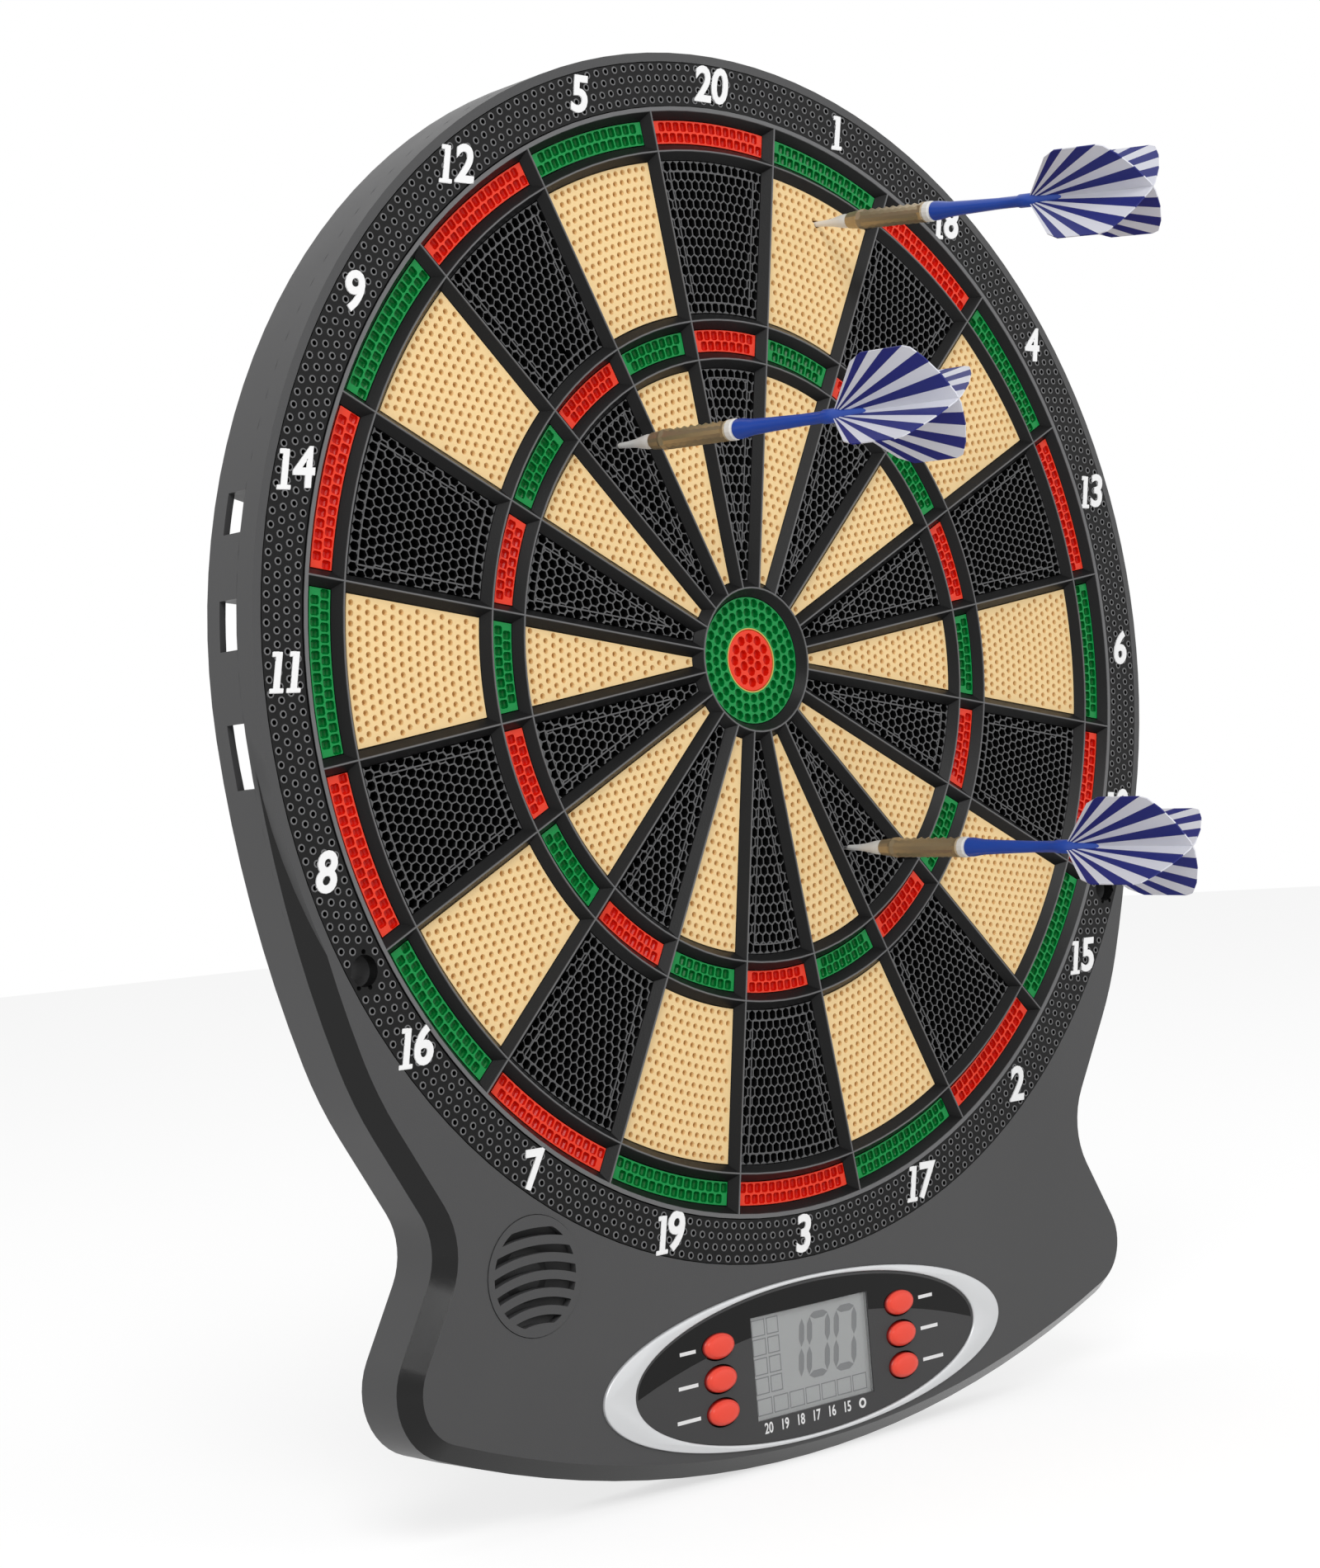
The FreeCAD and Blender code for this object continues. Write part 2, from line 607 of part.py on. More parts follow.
def keypad():
    """Rubber dome sheets, one under each row of buttons."""
    low = size("pcb_front")
    dome_top = button_foot() - size("button_travel") - 0.1
    solids = []
    for side in (-1, 1):
        x = side * size("button_reach")
        drop = -size("panel_drop")
        pad = box(x - 7, x + 7, drop - 15, drop + 15, low, low + 0.8)
        for spot_x, y, _ in button_spots():
            if spot_x == x:
                pad = pad.fuse(cylinder(2.8, low, dome_top, x, y))
        solids.append(pad)
    return group(solids)


def lcd_pieces():
    ledge, drop = size("face_height - recess_depth"), -size("panel_drop")
    half_w, half_h, rim = size("lcd_width / 2"), size("lcd_height / 2"), size("lcd_border")
    window = doc.addObject("Part::Box", "lcd_window")
    for name, formula in (("Length", "lcd_width"), ("Width", "lcd_height"), ("Height", "window_thick")):
        window.setExpression(name, bound(formula))
    finish(window, "lcd_window", FreeCAD.Placement(V(-half_w, drop - half_h, ledge), FreeCAD.Rotation()))
    glass = doc.addObject("Part::Box", "lcd_glass")
    for name, formula in (("Length", "lcd_width + 2 * lcd_border"),
                          ("Width", "lcd_height + 2 * lcd_border - 2"), ("Height", "lcd_thick")):
        glass.setExpression(name, bound(formula))
    corner = V(-half_w - rim, drop - half_h - rim + 1, ledge - size("lcd_thick"))
    finish(glass, "lcd_glass", FreeCAD.Placement(corner, FreeCAD.Rotation()))
    strips = []
    for side in (-1, 1):
        y = drop + side * (half_h - 0.5)
        strips.append(box(-half_w, half_w, y - 1.1, y + 1.1, size("pcb_front"), ledge - size("lcd_thick")))
    shaped("contact_strips", group(strips))


def circuit_board():
    piece = body("circuit_board")
    outline_sketch = sketch(piece, "outline", height="pcb_front - pcb_thick")
    draw_box(outline_sketch, "-pcb_width / 2", "pcb_width / 2", "-panel_drop - pcb_height / 2",
             "-panel_drop + pcb_height / 2")
    feature(piece, "Pad", outline_sketch, Length="pcb_thick")
    holes = sketch(piece, "holes", height="pcb_front")
    for side in ("", "-"):
        for up in ("+", "-"):
            across = "%s(pcb_width / 2 - 6)" % side
            draw_circle(holes, "1.3", across, "-panel_drop %s (pcb_height / 2 - 4) * 0.45" % up)
    feature(piece, "Pocket", holes, Length="pcb_thick + 0.5")


def board_parts():
    """Components on the back of the board: a sealed chip, a crystal and small parts."""
    back, drop = size("pcb_front - pcb_thick"), -size("panel_drop")
    chip = Part.makeCone(8.5, 6.0, 1.6, V(0, drop, back), V(0, 0, -1))
    solids = [chip, box(14, 24, drop - 2, drop + 2, back - 3.0, back),
              cylinder(3.0, back - 7, back, -40, drop + 6), cylinder(2.5, back - 6, back, -48, drop + 6)]
    for step in range(6):
        x = 32 + 5 * step
        solids.append(box(x, x + 3.2, drop + 8, drop + 9.6, back - 0.7, back))
    return group(solids)


def ribbon_tails():
    """Two printed tails that leave the sheets' lower edge and reach the board's top edge."""
    back = size("pcb_front - pcb_thick")
    low = size("board_base + board_thick + sheet_thick")
    top_edge = size("-panel_drop + pcb_height / 2")
    solids = []
    for side in (-1, 1):
        path = [(-size("sheet_radius"), low), (-186.0, low), (top_edge + 1.0, back - 0.3),
                (top_edge - 5.0, back - 0.3)]
        lower = [V(0, y, z) for y, z in path]
        upper = [V(0, y, z + 0.3) for y, z in reversed(path)]
        face = Part.Face(Part.makePolygon(lower + upper + lower[:1]))
        solids.append(face.translated(V(side * 28 - 8, 0, 0)).extrude(V(16, 0, 0)))
    return group(solids)


# ---------------------------------------------------------------- sound and power
def speaker_place():
    return FreeCAD.Placement(V(-size("speaker_x"), -size("speaker_drop"), 0), FreeCAD.Rotation())


def speaker():
    ceiling = "face_height - wall_thick"
    rim = "speaker_radius"
    turned("speaker", [
        ("0", ceiling + " - speaker_deep"), ("9", ceiling + " - speaker_deep"),
        ("9", ceiling + " - speaker_deep + 3"), (rim + " - 6", ceiling + " - speaker_deep + 3"),
        (rim + " - 2", ceiling + " - 1.4"), (rim, ceiling + " - 1.4"), (rim, ceiling),
        (rim + " - 2.5", ceiling), ("8", ceiling + " - 2.5"), ("5", ceiling + " - 1.5"),
        ("0", ceiling + " - 1.2")], speaker_place())


def speaker_grille():
    """A disc with curved slats, each gap an arc about a centre below the disc."""
    low, high = size("face_height - wall_thick"), size("face_height + 0.3")
    radius = size("grille_radius")
    solid = cylinder(radius, low, high)
    field = cylinder(radius - 2.2, low - 1, high + 1)
    for step in range(6):
        mean = 30 + 5.0 * step
        gap = tube(mean + 1.2, mean - 1.2, low - 1, high + 1, 0, -42.5)
        solid = solid.cut(gap.common(field))
    return solid


def cell_rows():
    left, right, top, bottom = bay_box()
    middle = (top + bottom) / 2
    radius = size("cell_radius")
    height = size("floor_thick + 0.6") + radius
    start = right - 1.6 - size("cell_length")
    return [(start, middle + side * (radius + 0.3), height, side) for side in (-1, 1)]


def battery_cells():
    solids = []
    for start, y, height, side in cell_rows():
        can = Part.makeCylinder(size("cell_radius"), size("cell_length") - 1.4,
                                V(start + (1.4 if side < 0 else 0), y, height), V(1, 0, 0))
        tip_x = start if side < 0 else start + size("cell_length") - 1.4
        tip = Part.makeCylinder(2.7, 1.4, V(tip_x, y, height), V(1, 0, 0))
        solids.append(can.fuse(tip))
    return group(solids)


def battery_contacts():
    """A plate at each end of each cell, with a conical spring at the flat end."""
    left, right, _, _ = bay_box()
    solids = []
    for start, y, height, side in cell_rows():
        low_plate = box(left + 0.1, left + 0.5, y - 5, y + 5, height - 4, height + 5)
        high_plate = box(right - 0.5, right - 0.1, y - 5, y + 5, height - 4, height + 5)
        end = start + size("cell_length")
        if side < 0:
            stud = Part.makeCylinder(2.2, start - left - 0.5, V(left + 0.5, y, height), V(1, 0, 0))
            spring = Part.makeCone(4.2, 2.6, right - 0.5 - end, V(right - 0.5, y, height), V(-1, 0, 0))
        else:
            spring = Part.makeCone(4.2, 2.6, start - left - 0.5, V(left + 0.5, y, height), V(1, 0, 0))
            stud = Part.makeCylinder(2.2, right - 0.5 - end, V(end, y, height), V(1, 0, 0))
        solids += [low_plate.fuse(stud if side < 0 else spring),
                   high_plate.fuse(spring if side < 0 else stud)]
    return group(solids)


# ---------------------------------------------------------------- darts
def dart(name, x, y, droop):
    place = dart_place(x, y, droop)
    bare = "dart_sunk + tip_bare"
    turned(name + "_tip", [
        ("0", "0"), ("0.5", "0"), ("1.0", "dart_sunk"), ("1.3", "dart_sunk + 7"),
        ("2.2", bare + " - 1.5"), ("2.2", bare), ("0", bare)], place)
    rear = bare + " + barrel_length"
    turned(name + "_barrel", [
        ("0", bare), ("2.5", bare), ("barrel_radius", bare + " + 7"),
        ("barrel_radius", rear + " - 4"), ("barrel_radius - 0.4", rear), ("0", rear)], place)
    tail = rear + " + stem_length"
    turned(name + "_stem", [
        ("0", rear), ("barrel_radius - 0.2", rear), ("barrel_radius - 0.3", rear + " + 2"),
        ("2.4", rear + " + 6"), ("1.9", tail), ("0", tail)], place)
    shaped(name + "_flight", flight(), place)


def flight():
    """Four vanes in a cross, folded from one sheet and pushed into the stem's split end."""
    start = size("dart_sunk + tip_bare + barrel_length + stem_length")
    length, span, half = size("flight_length"), size("flight_span"), size("flight_thick / 2")
    rim = [V(0, 0, start), V(2.2, 0, start), V(span, 0, start + 0.36 * length),
           V(span, 0, start + 0.8 * length), V(0.55 * span, 0, start + length), V(0, 0, start + length)]
    face = Part.Face(Part.makePolygon(rim + rim[:1]))
    vane = face.translated(V(0, -half, 0)).extrude(V(0, 2 * half, 0))
    vanes = [vane.rotated(V(0, 0, 0), V(0, 0, 1), 20 + 90 * step) for step in range(4)]
    return vanes[0].fuse(vanes[1:]).removeSplitter()


# ---------------------------------------------------------------- assembly
shaped("front_shell", front_shell())
shaped("rear_shell", rear_shell())
shaped("spider_web", spider_web())
catch_ring()
shaped("doubles_red", segments("double", BLACK_EVEN))
shaped("doubles_green", segments("double", WHITE_ODD))
shaped("trebles_red", segments("treble", BLACK_EVEN))
shaped("trebles_green", segments("treble", WHITE_ODD))
shaped("outer_singles_black", segments("outer", BLACK_EVEN))
shaped("outer_singles_beige", segments("outer", WHITE_ODD))
shaped("inner_singles_black", segments("inner", BLACK_EVEN))
shaped("inner_singles_beige", segments("inner", WHITE_ODD))
bull_bodies()
stack = "board_base + board_thick"
disc("backing_board", "sheet_radius", "board_base", "board_thick")
for order, sheet_name in enumerate(("sensor_sheet_rear", "sensor_spacer", "sensor_sheet_front")):
    disc(sheet_name, "sheet_radius", "%s + %d * sheet_thick" % (stack, order), "sheet_thick")
disc("rubber_mat", "sheet_radius", stack + " + 3 * sheet_thick", "mat_thick")
shaped("ribbon_tails", ribbon_tails())
panel_pieces()
lcd_pieces()
circuit_board()
shaped("board_parts", board_parts())
shaped("keypad_rubber", keypad())
for spot_x, spot_y, button_name in button_spots():
    button(spot_x, spot_y, button_name)
shaped("board_screws", group([
    cylinder(2.2, size("pcb_front - pcb_thick") - 1.4, size("pcb_front - pcb_thick"), x, y).fuse(
        cylinder(0.85, size("pcb_front - pcb_thick"), size("face_height - wall_thick - 1"), x, y))
    for x, y in board_posts()]))
shaped("case_screws", group([screw(x, y) for x, y in post_spots() + CASE_SCREWS]))
speaker()
shaped("speaker_grille", speaker_grille(), speaker_place())
shaped("battery_cells", battery_cells())
shaped("battery_contacts", battery_contacts())
shaped("battery_door", battery_door())
for dart_name, entry_x, entry_y, tail_droop in DARTS:
    dart(dart_name, entry_x, entry_y, tail_droop)
doc.recompute()

# ---------------------------------------------------------------- check and write
for item in doc.Objects:
    if "Invalid" in item.State or "Error" in item.State:
        raise RuntimeError("%s did not build: %s" % (item.Label, item.State))
for node in nodes:
    if node.Shape.isNull() or not node.Shape.isValid() or not node.Shape.Solids:
        raise RuntimeError("%s has no valid shape" % node.Label)
os.makedirs("parts", exist_ok=True)
for node in nodes:
    node.Shape.exportStep("parts/%s.step" % node.Label)
    print("%-22s %2d solids %10.1f mm3" % (node.Label, len(node.Shape.Solids), node.Shape.Volume))
print(len(nodes), "nodes")
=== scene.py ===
"""Looks of the electronic dartboard cabinet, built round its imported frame.

Pieces are modelled lying on their backs, X to the right, Y up the board and Z out of the wall,
and upright() then stands them up, so that heights are distances from the wall. Sizes are in
millimetres unless a comment says otherwise, and MM turns them into metres.
"""
import json
import math

import bpy
from mathutils import Matrix, Quaternion, Vector


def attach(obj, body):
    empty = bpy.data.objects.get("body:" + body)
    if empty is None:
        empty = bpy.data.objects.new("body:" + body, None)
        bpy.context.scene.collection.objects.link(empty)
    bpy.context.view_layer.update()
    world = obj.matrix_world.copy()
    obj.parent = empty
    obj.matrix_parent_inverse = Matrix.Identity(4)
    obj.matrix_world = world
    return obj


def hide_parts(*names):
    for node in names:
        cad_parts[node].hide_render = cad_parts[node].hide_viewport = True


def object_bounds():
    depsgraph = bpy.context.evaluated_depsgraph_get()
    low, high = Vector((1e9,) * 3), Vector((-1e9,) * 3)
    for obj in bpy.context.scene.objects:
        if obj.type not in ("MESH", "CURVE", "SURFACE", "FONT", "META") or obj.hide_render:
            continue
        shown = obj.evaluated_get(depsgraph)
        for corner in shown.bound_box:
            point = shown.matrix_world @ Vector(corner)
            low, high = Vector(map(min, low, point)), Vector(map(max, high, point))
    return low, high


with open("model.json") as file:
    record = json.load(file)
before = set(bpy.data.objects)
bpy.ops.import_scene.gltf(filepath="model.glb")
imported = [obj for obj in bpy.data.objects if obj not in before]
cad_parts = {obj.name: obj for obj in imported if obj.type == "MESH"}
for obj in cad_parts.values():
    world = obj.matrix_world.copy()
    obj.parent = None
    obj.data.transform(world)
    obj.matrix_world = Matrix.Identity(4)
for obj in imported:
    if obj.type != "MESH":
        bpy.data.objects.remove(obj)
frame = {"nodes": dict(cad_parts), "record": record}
cad_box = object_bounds()
MM = 0.001
SECTOR_DEGREES = 18
HALF_SECTOR = math.radians(SECTOR_DEGREES / 2)
# vertices this close are one, metres: in pieces made here, and in shapes taken from the CAD
WELD, CAD_WELD = 1e-7, 1e-6

# heights above the wall
WEB_CREST, SEGMENT_FACE, SEGMENT_BASE, FLANGE_TOP = 22.0, 19.0, 12.95, 14.75
RING_FACE, RING_BACK, RING_LIP = 21.5, 17.8, 19.4
PANEL_LEDGE, PANEL_FACE, BEZEL_FACE, DISPLAY_FACE = 20.5, 21.9, 22.5, 20.5
BUTTON_BASE, BUTTON_SHOULDER = 19.4, 22.3
# a cutter between these heights goes right through the ring or the panel
BELOW_FRONT, ABOVE_FRONT = 10, 30

# the target's rings at the crests of the web, and how far a segment stands back from them
RINGS = {"double": (159.0, 171.5), "outer": (106.3, 159.0), "treble": (94.2, 106.3),
         "inner": (22.5, 94.2)}
SEGMENT_INSET, FLANGE_INSET = 2.7, 0.6
SINGLES_PITCH, NARROW_PITCH = 2.95, 3.08

# the catch ring round the target, the two wall holes through it and the numbers on it
RING_INNER, RING_OUTER, LIP_INNER, LIP_OUTER = 172.9, 186.3, 186.25, 187.0
WALL_HOLE_X, WALL_HOLE_Y, WALL_HOLE_RADIUS = 160.5, -82.8, 4.5
NUMBERS = [20, 1, 18, 4, 13, 6, 10, 15, 2, 17, 3, 19, 7, 16, 8, 11, 14, 9, 12, 5]
NUMBER_RADIUS, NUMBER_SIZE, NUMBER_SLANT = 179.6, 15.6, 0.2

# the control panel: its middle, and the half width and half height of each oval
PANEL_Y = -217.0
BEZEL_OVAL, BEZEL_OPENING = (87.0, 24.9), (74.7, 23.7)
GLOSS_OVAL, BUTTON_OVAL = (73.6, 22.7), (6.5, 3.9)
OVAL_SIDES = 160
BUTTON_COLUMN, BUTTON_PITCH = 40.0, 10.0
MARK_ROW_Y = PANEL_Y - 18.4
# how far the glossy band and the printed marks stand above the panel's face
GLOSS_RISE, PRINT_RISE = 0.03, 0.08

# each dart: entry point on the target, droop of its tail in degrees
DARTS = {"dart_a": (45.79, 140.70, 7.0), "dart_b": (-47.69, 65.99, 3.2),
         "dart_c": (37.59, -61.00, 2.7)}
# turn of each dart about its own length, degrees
SPINS = {"dart_a": 30, "dart_b": 15, "dart_c": 14}
DART_DEPTH, DART_HOLE_RADIUS = 5, 1.25


# ---------------------------------------------------------------- workshop
def only(piece):
    bpy.ops.object.select_all(action="DESELECT")
    piece.select_set(True)
    bpy.context.view_layer.objects.active = piece


def added(name):
    """Names the primitive that was just added."""
    piece = bpy.context.object
    piece.name = piece.data.name = name
    return piece


def settle(piece):
    """Puts the piece's place, turn and scale into its mesh."""
    only(piece)
    bpy.ops.object.transform_apply(location=True, rotation=True, scale=True)
    return piece


def upright(piece):
    settle(piece)
    piece.rotation_euler = (math.pi / 2, 0, 0)
    return settle(piece)


def twin(piece):
    copy = piece.copy()
    copy.data = piece.data.copy()
    bpy.context.collection.objects.link(copy)
    return copy


def joined(pieces, name):
    bpy.ops.object.select_all(action="DESELECT")
    for piece in pieces:
        piece.select_set(True)
    bpy.context.view_layer.objects.active = pieces[0]
    bpy.ops.object.join()
    return added(name)


def modify(piece, kind, **settings):
    only(piece)
    modifier = piece.modifiers.new(kind, kind)
    for key, value in settings.items():
        setattr(modifier, key, value)
    bpy.ops.object.modifier_apply(modifier=modifier.name)
    return piece


def cut(piece, cutter, overlaps=False):
    """Takes the cutter out of the piece; overlaps says that the piece's shells cross."""
    modify(piece, "BOOLEAN", object=cutter, operation="DIFFERENCE", solver="EXACT",
           use_self=overlaps)
    bpy.data.objects.remove(cutter)
    return piece


def smooth(piece, angle=30):
    only(piece)
    bpy.ops.object.shade_smooth_by_angle(angle=math.radians(angle))
    return piece


def edit(piece, select="SELECT"):
    only(piece)
    bpy.ops.object.mode_set(mode="EDIT")
    bpy.ops.mesh.select_all(action=select)


def done():
    bpy.ops.object.mode_set(mode="OBJECT")


def rod(name, sides, low, high, half_x, half_y=None, x=0.0, y=0.0, foot=1.0):
    """An upright prism, oval if half_y is given; its lower end is foot times as wide."""
    bpy.ops.mesh.primitive_cone_add(vertices=sides, radius1=foot, radius2=1.0,
                                    depth=(high - low) * MM,
                                    location=(x * MM, y * MM, (low + high) / 2 * MM))
    piece = added(name)
    piece.scale = (half_x * MM, (half_y or half_x) * MM, 1)
    return settle(piece)


def block(name, left, right, bottom, top, low, high):
    bpy.ops.mesh.primitive_cube_add(size=1, location=((left + right) / 2 * MM,
                                                      (bottom + top) / 2 * MM,
                                                      (low + high) / 2 * MM))
    piece = added(name)
    piece.scale = ((right - left) * MM, (top - bottom) * MM, (high - low) * MM)
    return settle(piece)


def lathe(name, sides, profile, bore=False):
    """Rings of the profile, each (radius, height), extruded one after the other.

    With a bore the last ring is joined to the first, else both ends are closed.
    """
    radius, height = profile[0]
    bpy.ops.mesh.primitive_circle_add(vertices=sides, radius=radius * MM,
                                      fill_type="NOTHING" if bore else "NGON",
                                      location=(0, 0, height * MM))
    piece = settle(added(name))
    edit(piece)
    for next_radius, next_height in profile[1:] + profile[:1] * bore:
        bpy.ops.mesh.extrude_region_move(
            TRANSFORM_OT_translate={"value": (0, 0, (next_height - height) * MM)})
        ratio = next_radius / radius
        bpy.ops.transform.resize(value=(ratio, ratio, 1), center_override=(0, 0, 0))
        radius, height = next_radius, next_height
    bpy.ops.mesh.select_all(action="SELECT")
    bpy.ops.mesh.remove_doubles(threshold=WELD)
    bpy.ops.mesh.normals_make_consistent(inside=False)
    done()
    return piece


def fit(piece, body, slot, material, *nodes):
    """Gives the piece its material and its body, and hides the CAD nodes it stands for."""
    piece.data.materials.clear()
    piece.data.materials.append(material)
    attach(piece, body)
    if nodes:
        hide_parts(*nodes)
    return piece


# ---------------------------------------------------------------- materials
class Finish:
    """A plastic, metal or print: mottled colour, uneven gloss and a fine grain."""

    CLOUD_SCALE = 45.0
    UNEVEN_GLOSS = 0.15
    GRAIN_DEPTH = 0.0001  # metres

    def __init__(self, name, colour, roughness, grain=2500, relief=0.15, mottle=0.12, **sockets):
        self.material = bpy.data.materials.new(name)
        self.material.use_nodes = True
        self.nodes, self.links = self.material.node_tree.nodes, self.material.node_tree.links
        self.shader = self.nodes["Principled BSDF"]
        for key, value in sockets.items():
            self.shader.inputs[key.replace("_", " ")].default_value = value
        self.place = self.node("ShaderNodeTexCoord").outputs["Object"]
        cloud = self.node("ShaderNodeTexNoise", Scale=self.CLOUD_SCALE, Detail=5.0)
        self.link(self.place, cloud, "Vector")
        shade = self.node("ShaderNodeMix", data_type="RGBA")
        self.link(cloud.outputs["Fac"], shade, 0)
        shade.inputs[6].default_value = [c * (1 - mottle) for c in colour] + [1]
        shade.inputs[7].default_value = [min(1, c * (1 + mottle)) for c in colour] + [1]
        self.colour = shade.outputs[2]
        gloss = self.node("ShaderNodeMapRange")
        self.link(cloud.outputs["Fac"], gloss, "Value")
        gloss.inputs["To Min"].default_value = roughness * (1 - self.UNEVEN_GLOSS)
        gloss.inputs["To Max"].default_value = roughness * (1 + self.UNEVEN_GLOSS)
        self.gloss = gloss.outputs["Result"]
        fine = self.node("ShaderNodeTexNoise", Scale=float(grain), Detail=2.0)
        self.link(self.place, fine, "Vector")
        bump = self.node("ShaderNodeBump", Strength=relief, Distance=self.GRAIN_DEPTH)
        self.link(fine.outputs["Fac"], bump, "Height")
        self.link(bump.outputs["Normal"], self.shader, "Normal")
        self.close()

    def node(self, kind, data_type=None, operation=None, **inputs):
        made = self.nodes.new(kind)
        if data_type:
            made.data_type = data_type
        if operation:
            made.operation = operation
        for key, value in inputs.items():
            made.inputs[key].default_value = value
        return made

    def link(self, output, node, name):
        self.links.new(output, node.inputs[name])

    def close(self):
        self.link(self.colour, self.shader, "Base Color")
        self.link(self.gloss, self.shader, "Roughness")

    def blend(self, factor, colour, roughness=None):
        """Another colour, and gloss if given, where the factor is 1."""
        mix = self.node("ShaderNodeMix", data_type="RGBA")
        self.link(factor, mix, 0)
        self.link(self.colour, mix, 6)
        mix.inputs[7].default_value = list(colour) + [1]
        self.colour = mix.outputs[2]
        if roughness is not None:
            rough = self.node("ShaderNodeMix")
            self.link(factor, rough, 0)
            self.link(self.gloss, rough, 2)
            rough.inputs[3].default_value = roughness
            self.gloss = rough.outputs[0]
        self.close()
        return self

    def between(self, value, low, high):
        """A factor that is 0 where the value is at low and 1 at high."""
        ramp = self.node("ShaderNodeMapRange")
        self.link(value, ramp, "Value")
        ramp.inputs["From Min"].default_value = low
        ramp.inputs["From Max"].default_value = high
        return ramp.outputs["Result"]

    def height(self):
        """Minus the distance from the wall, in metres."""
        axes = self.node("ShaderNodeSeparateXYZ")
        self.link(self.place, axes, "Vector")
        return axes.outputs["Y"]

    def below(self, top, bottom, colour, roughness=None):
        """Painted shade: another colour in the depths of holes and under edges, none at top, all
        at bottom.
        """
        factor = self.between(self.height(), -top * MM, -bottom * MM)
        return self.blend(factor, colour, roughness)

    def above(self, bottom, top, colour, roughness=None):
        """Painted highlight: another colour on the tops of ridges, none at bottom, all at top."""
        factor = self.between(self.height(), -bottom * MM, -top * MM)
        return self.blend(factor, colour, roughness)


def grey(value):
    """A grey that is very slightly blue."""
    return (value, value, value * 1.02)


casing = Finish("casing_grey", grey(0.063), 0.42, grain=3200, relief=0.3, mottle=0.05,
                Specular_IOR_Level=0.3)
# painted shade: faces that lean more than the front and less than the side wall, along the
# bevelled edge, are painted near black and glossier, as if in shade
facing = casing.node("ShaderNodeSeparateXYZ")
casing.link(casing.node("ShaderNodeTexCoord").outputs["Normal"], facing, "Vector")
past_front = casing.between(facing.outputs["Y"], -0.93, -0.85)
before_side = casing.between(facing.outputs["Y"], -0.30, -0.45)
painted_bevel_shade = casing.node("ShaderNodeMath", operation="MULTIPLY")
casing.link(past_front, painted_bevel_shade, 0)
casing.link(before_side, painted_bevel_shade, 1)
casing.blend(painted_bevel_shade.outputs[0], grey(0.003), 0.2)
ring_black = Finish("ring_black", grey(0.006), 0.3, grain=1800, relief=0.3,
                    Specular_IOR_Level=0.14)
# painted highlight: the tops of the raised rims round the pits are painted lighter grey
ring_black.above(RING_FACE + 0.05, RING_FACE + 0.22, grey(0.17))
web_black = Finish("web_black", grey(0.009), 0.36, relief=0.25, Specular_IOR_Level=0.16)
# painted highlight: a lighter grey line is painted along the crest of the web
web_black.above(WEB_CREST - 0.28, WEB_CREST - 0.02, grey(0.15), 0.3)
black_cells = Finish("black_cells", grey(0.008), 0.3, Specular_IOR_Level=0.25)
# painted highlight on the tops of the cell walls, and painted shade, near black, in the depths of
# the cells
black_cells.above(SEGMENT_FACE - 0.25, SEGMENT_FACE, grey(0.10))
black_cells.below(SEGMENT_FACE - 0.6, SEGMENT_FACE - 2.6, grey(0.001))
beige_cells = Finish("beige_cells", (0.90, 0.65, 0.32), 0.42, mottle=0.04,
                     Specular_IOR_Level=0.3)
# painted shade: the pits are painted darker and browner towards their bottoms
beige_cells.below(SEGMENT_FACE - 0.05, SEGMENT_FACE - 1.3, (0.62, 0.36, 0.12))
red_cells = Finish("red_cells", (0.66, 0.010, 0.003), 0.22, Specular_IOR_Level=0.16)
# painted highlight: the tops of the cell walls are painted a brighter red
red_cells.above(SEGMENT_FACE - 0.2, SEGMENT_FACE - 0.02, (0.88, 0.05, 0.02))
green_cells = Finish("green_cells", (0.0, 0.17, 0.028), 0.22, Specular_IOR_Level=0.16)
# painted highlight: the tops of the cell walls are painted a brighter green
green_cells.above(SEGMENT_FACE - 0.2, SEGMENT_FACE - 0.02, (0.003, 0.28, 0.06))
bull_yellow = Finish("bull_yellow", (0.62, 0.42, 0.07), 0.3)
number_white = Finish("number_white", (0.9, 0.9, 0.9), 0.4, mottle=0.02)
bezel_silver = Finish("bezel_silver", (0.66, 0.67, 0.68), 0.33, mottle=0.03, relief=0.1,
                      Metallic=0.35)
panel_dark = Finish("panel_dark", grey(0.040), 0.4, relief=0.3, mottle=0.06,
                    Specular_IOR_Level=0.3)
panel_gloss = Finish("panel_gloss", grey(0.002), 0.08, relief=0.02, Specular_IOR_Level=0.2)
print_white = Finish("print_white", (0.8, 0.8, 0.8), 0.5)
button_red = Finish("button_red", (0.88, 0.065, 0.035), 0.3, relief=0.05, mottle=0.04,
                    Specular_IOR_Level=0.35)
# painted shade: the side of the cap, up to the start of its dome, is painted dark red, fading out
# up the dome
button_red.below(BUTTON_SHOULDER + 0.6, BUTTON_SHOULDER, (0.22, 0.006, 0.004))
lcd_grey = Finish("lcd_grey", (0.36, 0.37, 0.37), 0.35, relief=0.05, mottle=0.04)
lcd_dark = Finish("lcd_dark", (0.12, 0.125, 0.13), 0.4)
lcd_line = Finish("lcd_line", (0.13, 0.135, 0.14), 0.4)
window_clear = Finish("window_clear", (0.85, 0.87, 0.87), 0.06, relief=0.0, Alpha=0.12)
brass = Finish("brass", (0.44, 0.35, 0.22), 0.34, mottle=0.15, Metallic=0.6)
stem_blue = Finish("stem_blue", (0.012, 0.065, 0.40), 0.3, mottle=0.08)
tip_white = Finish("tip_white", (0.78, 0.77, 0.74), 0.35, mottle=0.05)
flight_blue = Finish("flight_blue", (0.016, 0.022, 0.19), 0.35, Specular_IOR_Level=0.3)
flight_white = Finish("flight_white", (0.72, 0.73, 0.80), 0.4, mottle=0.05)
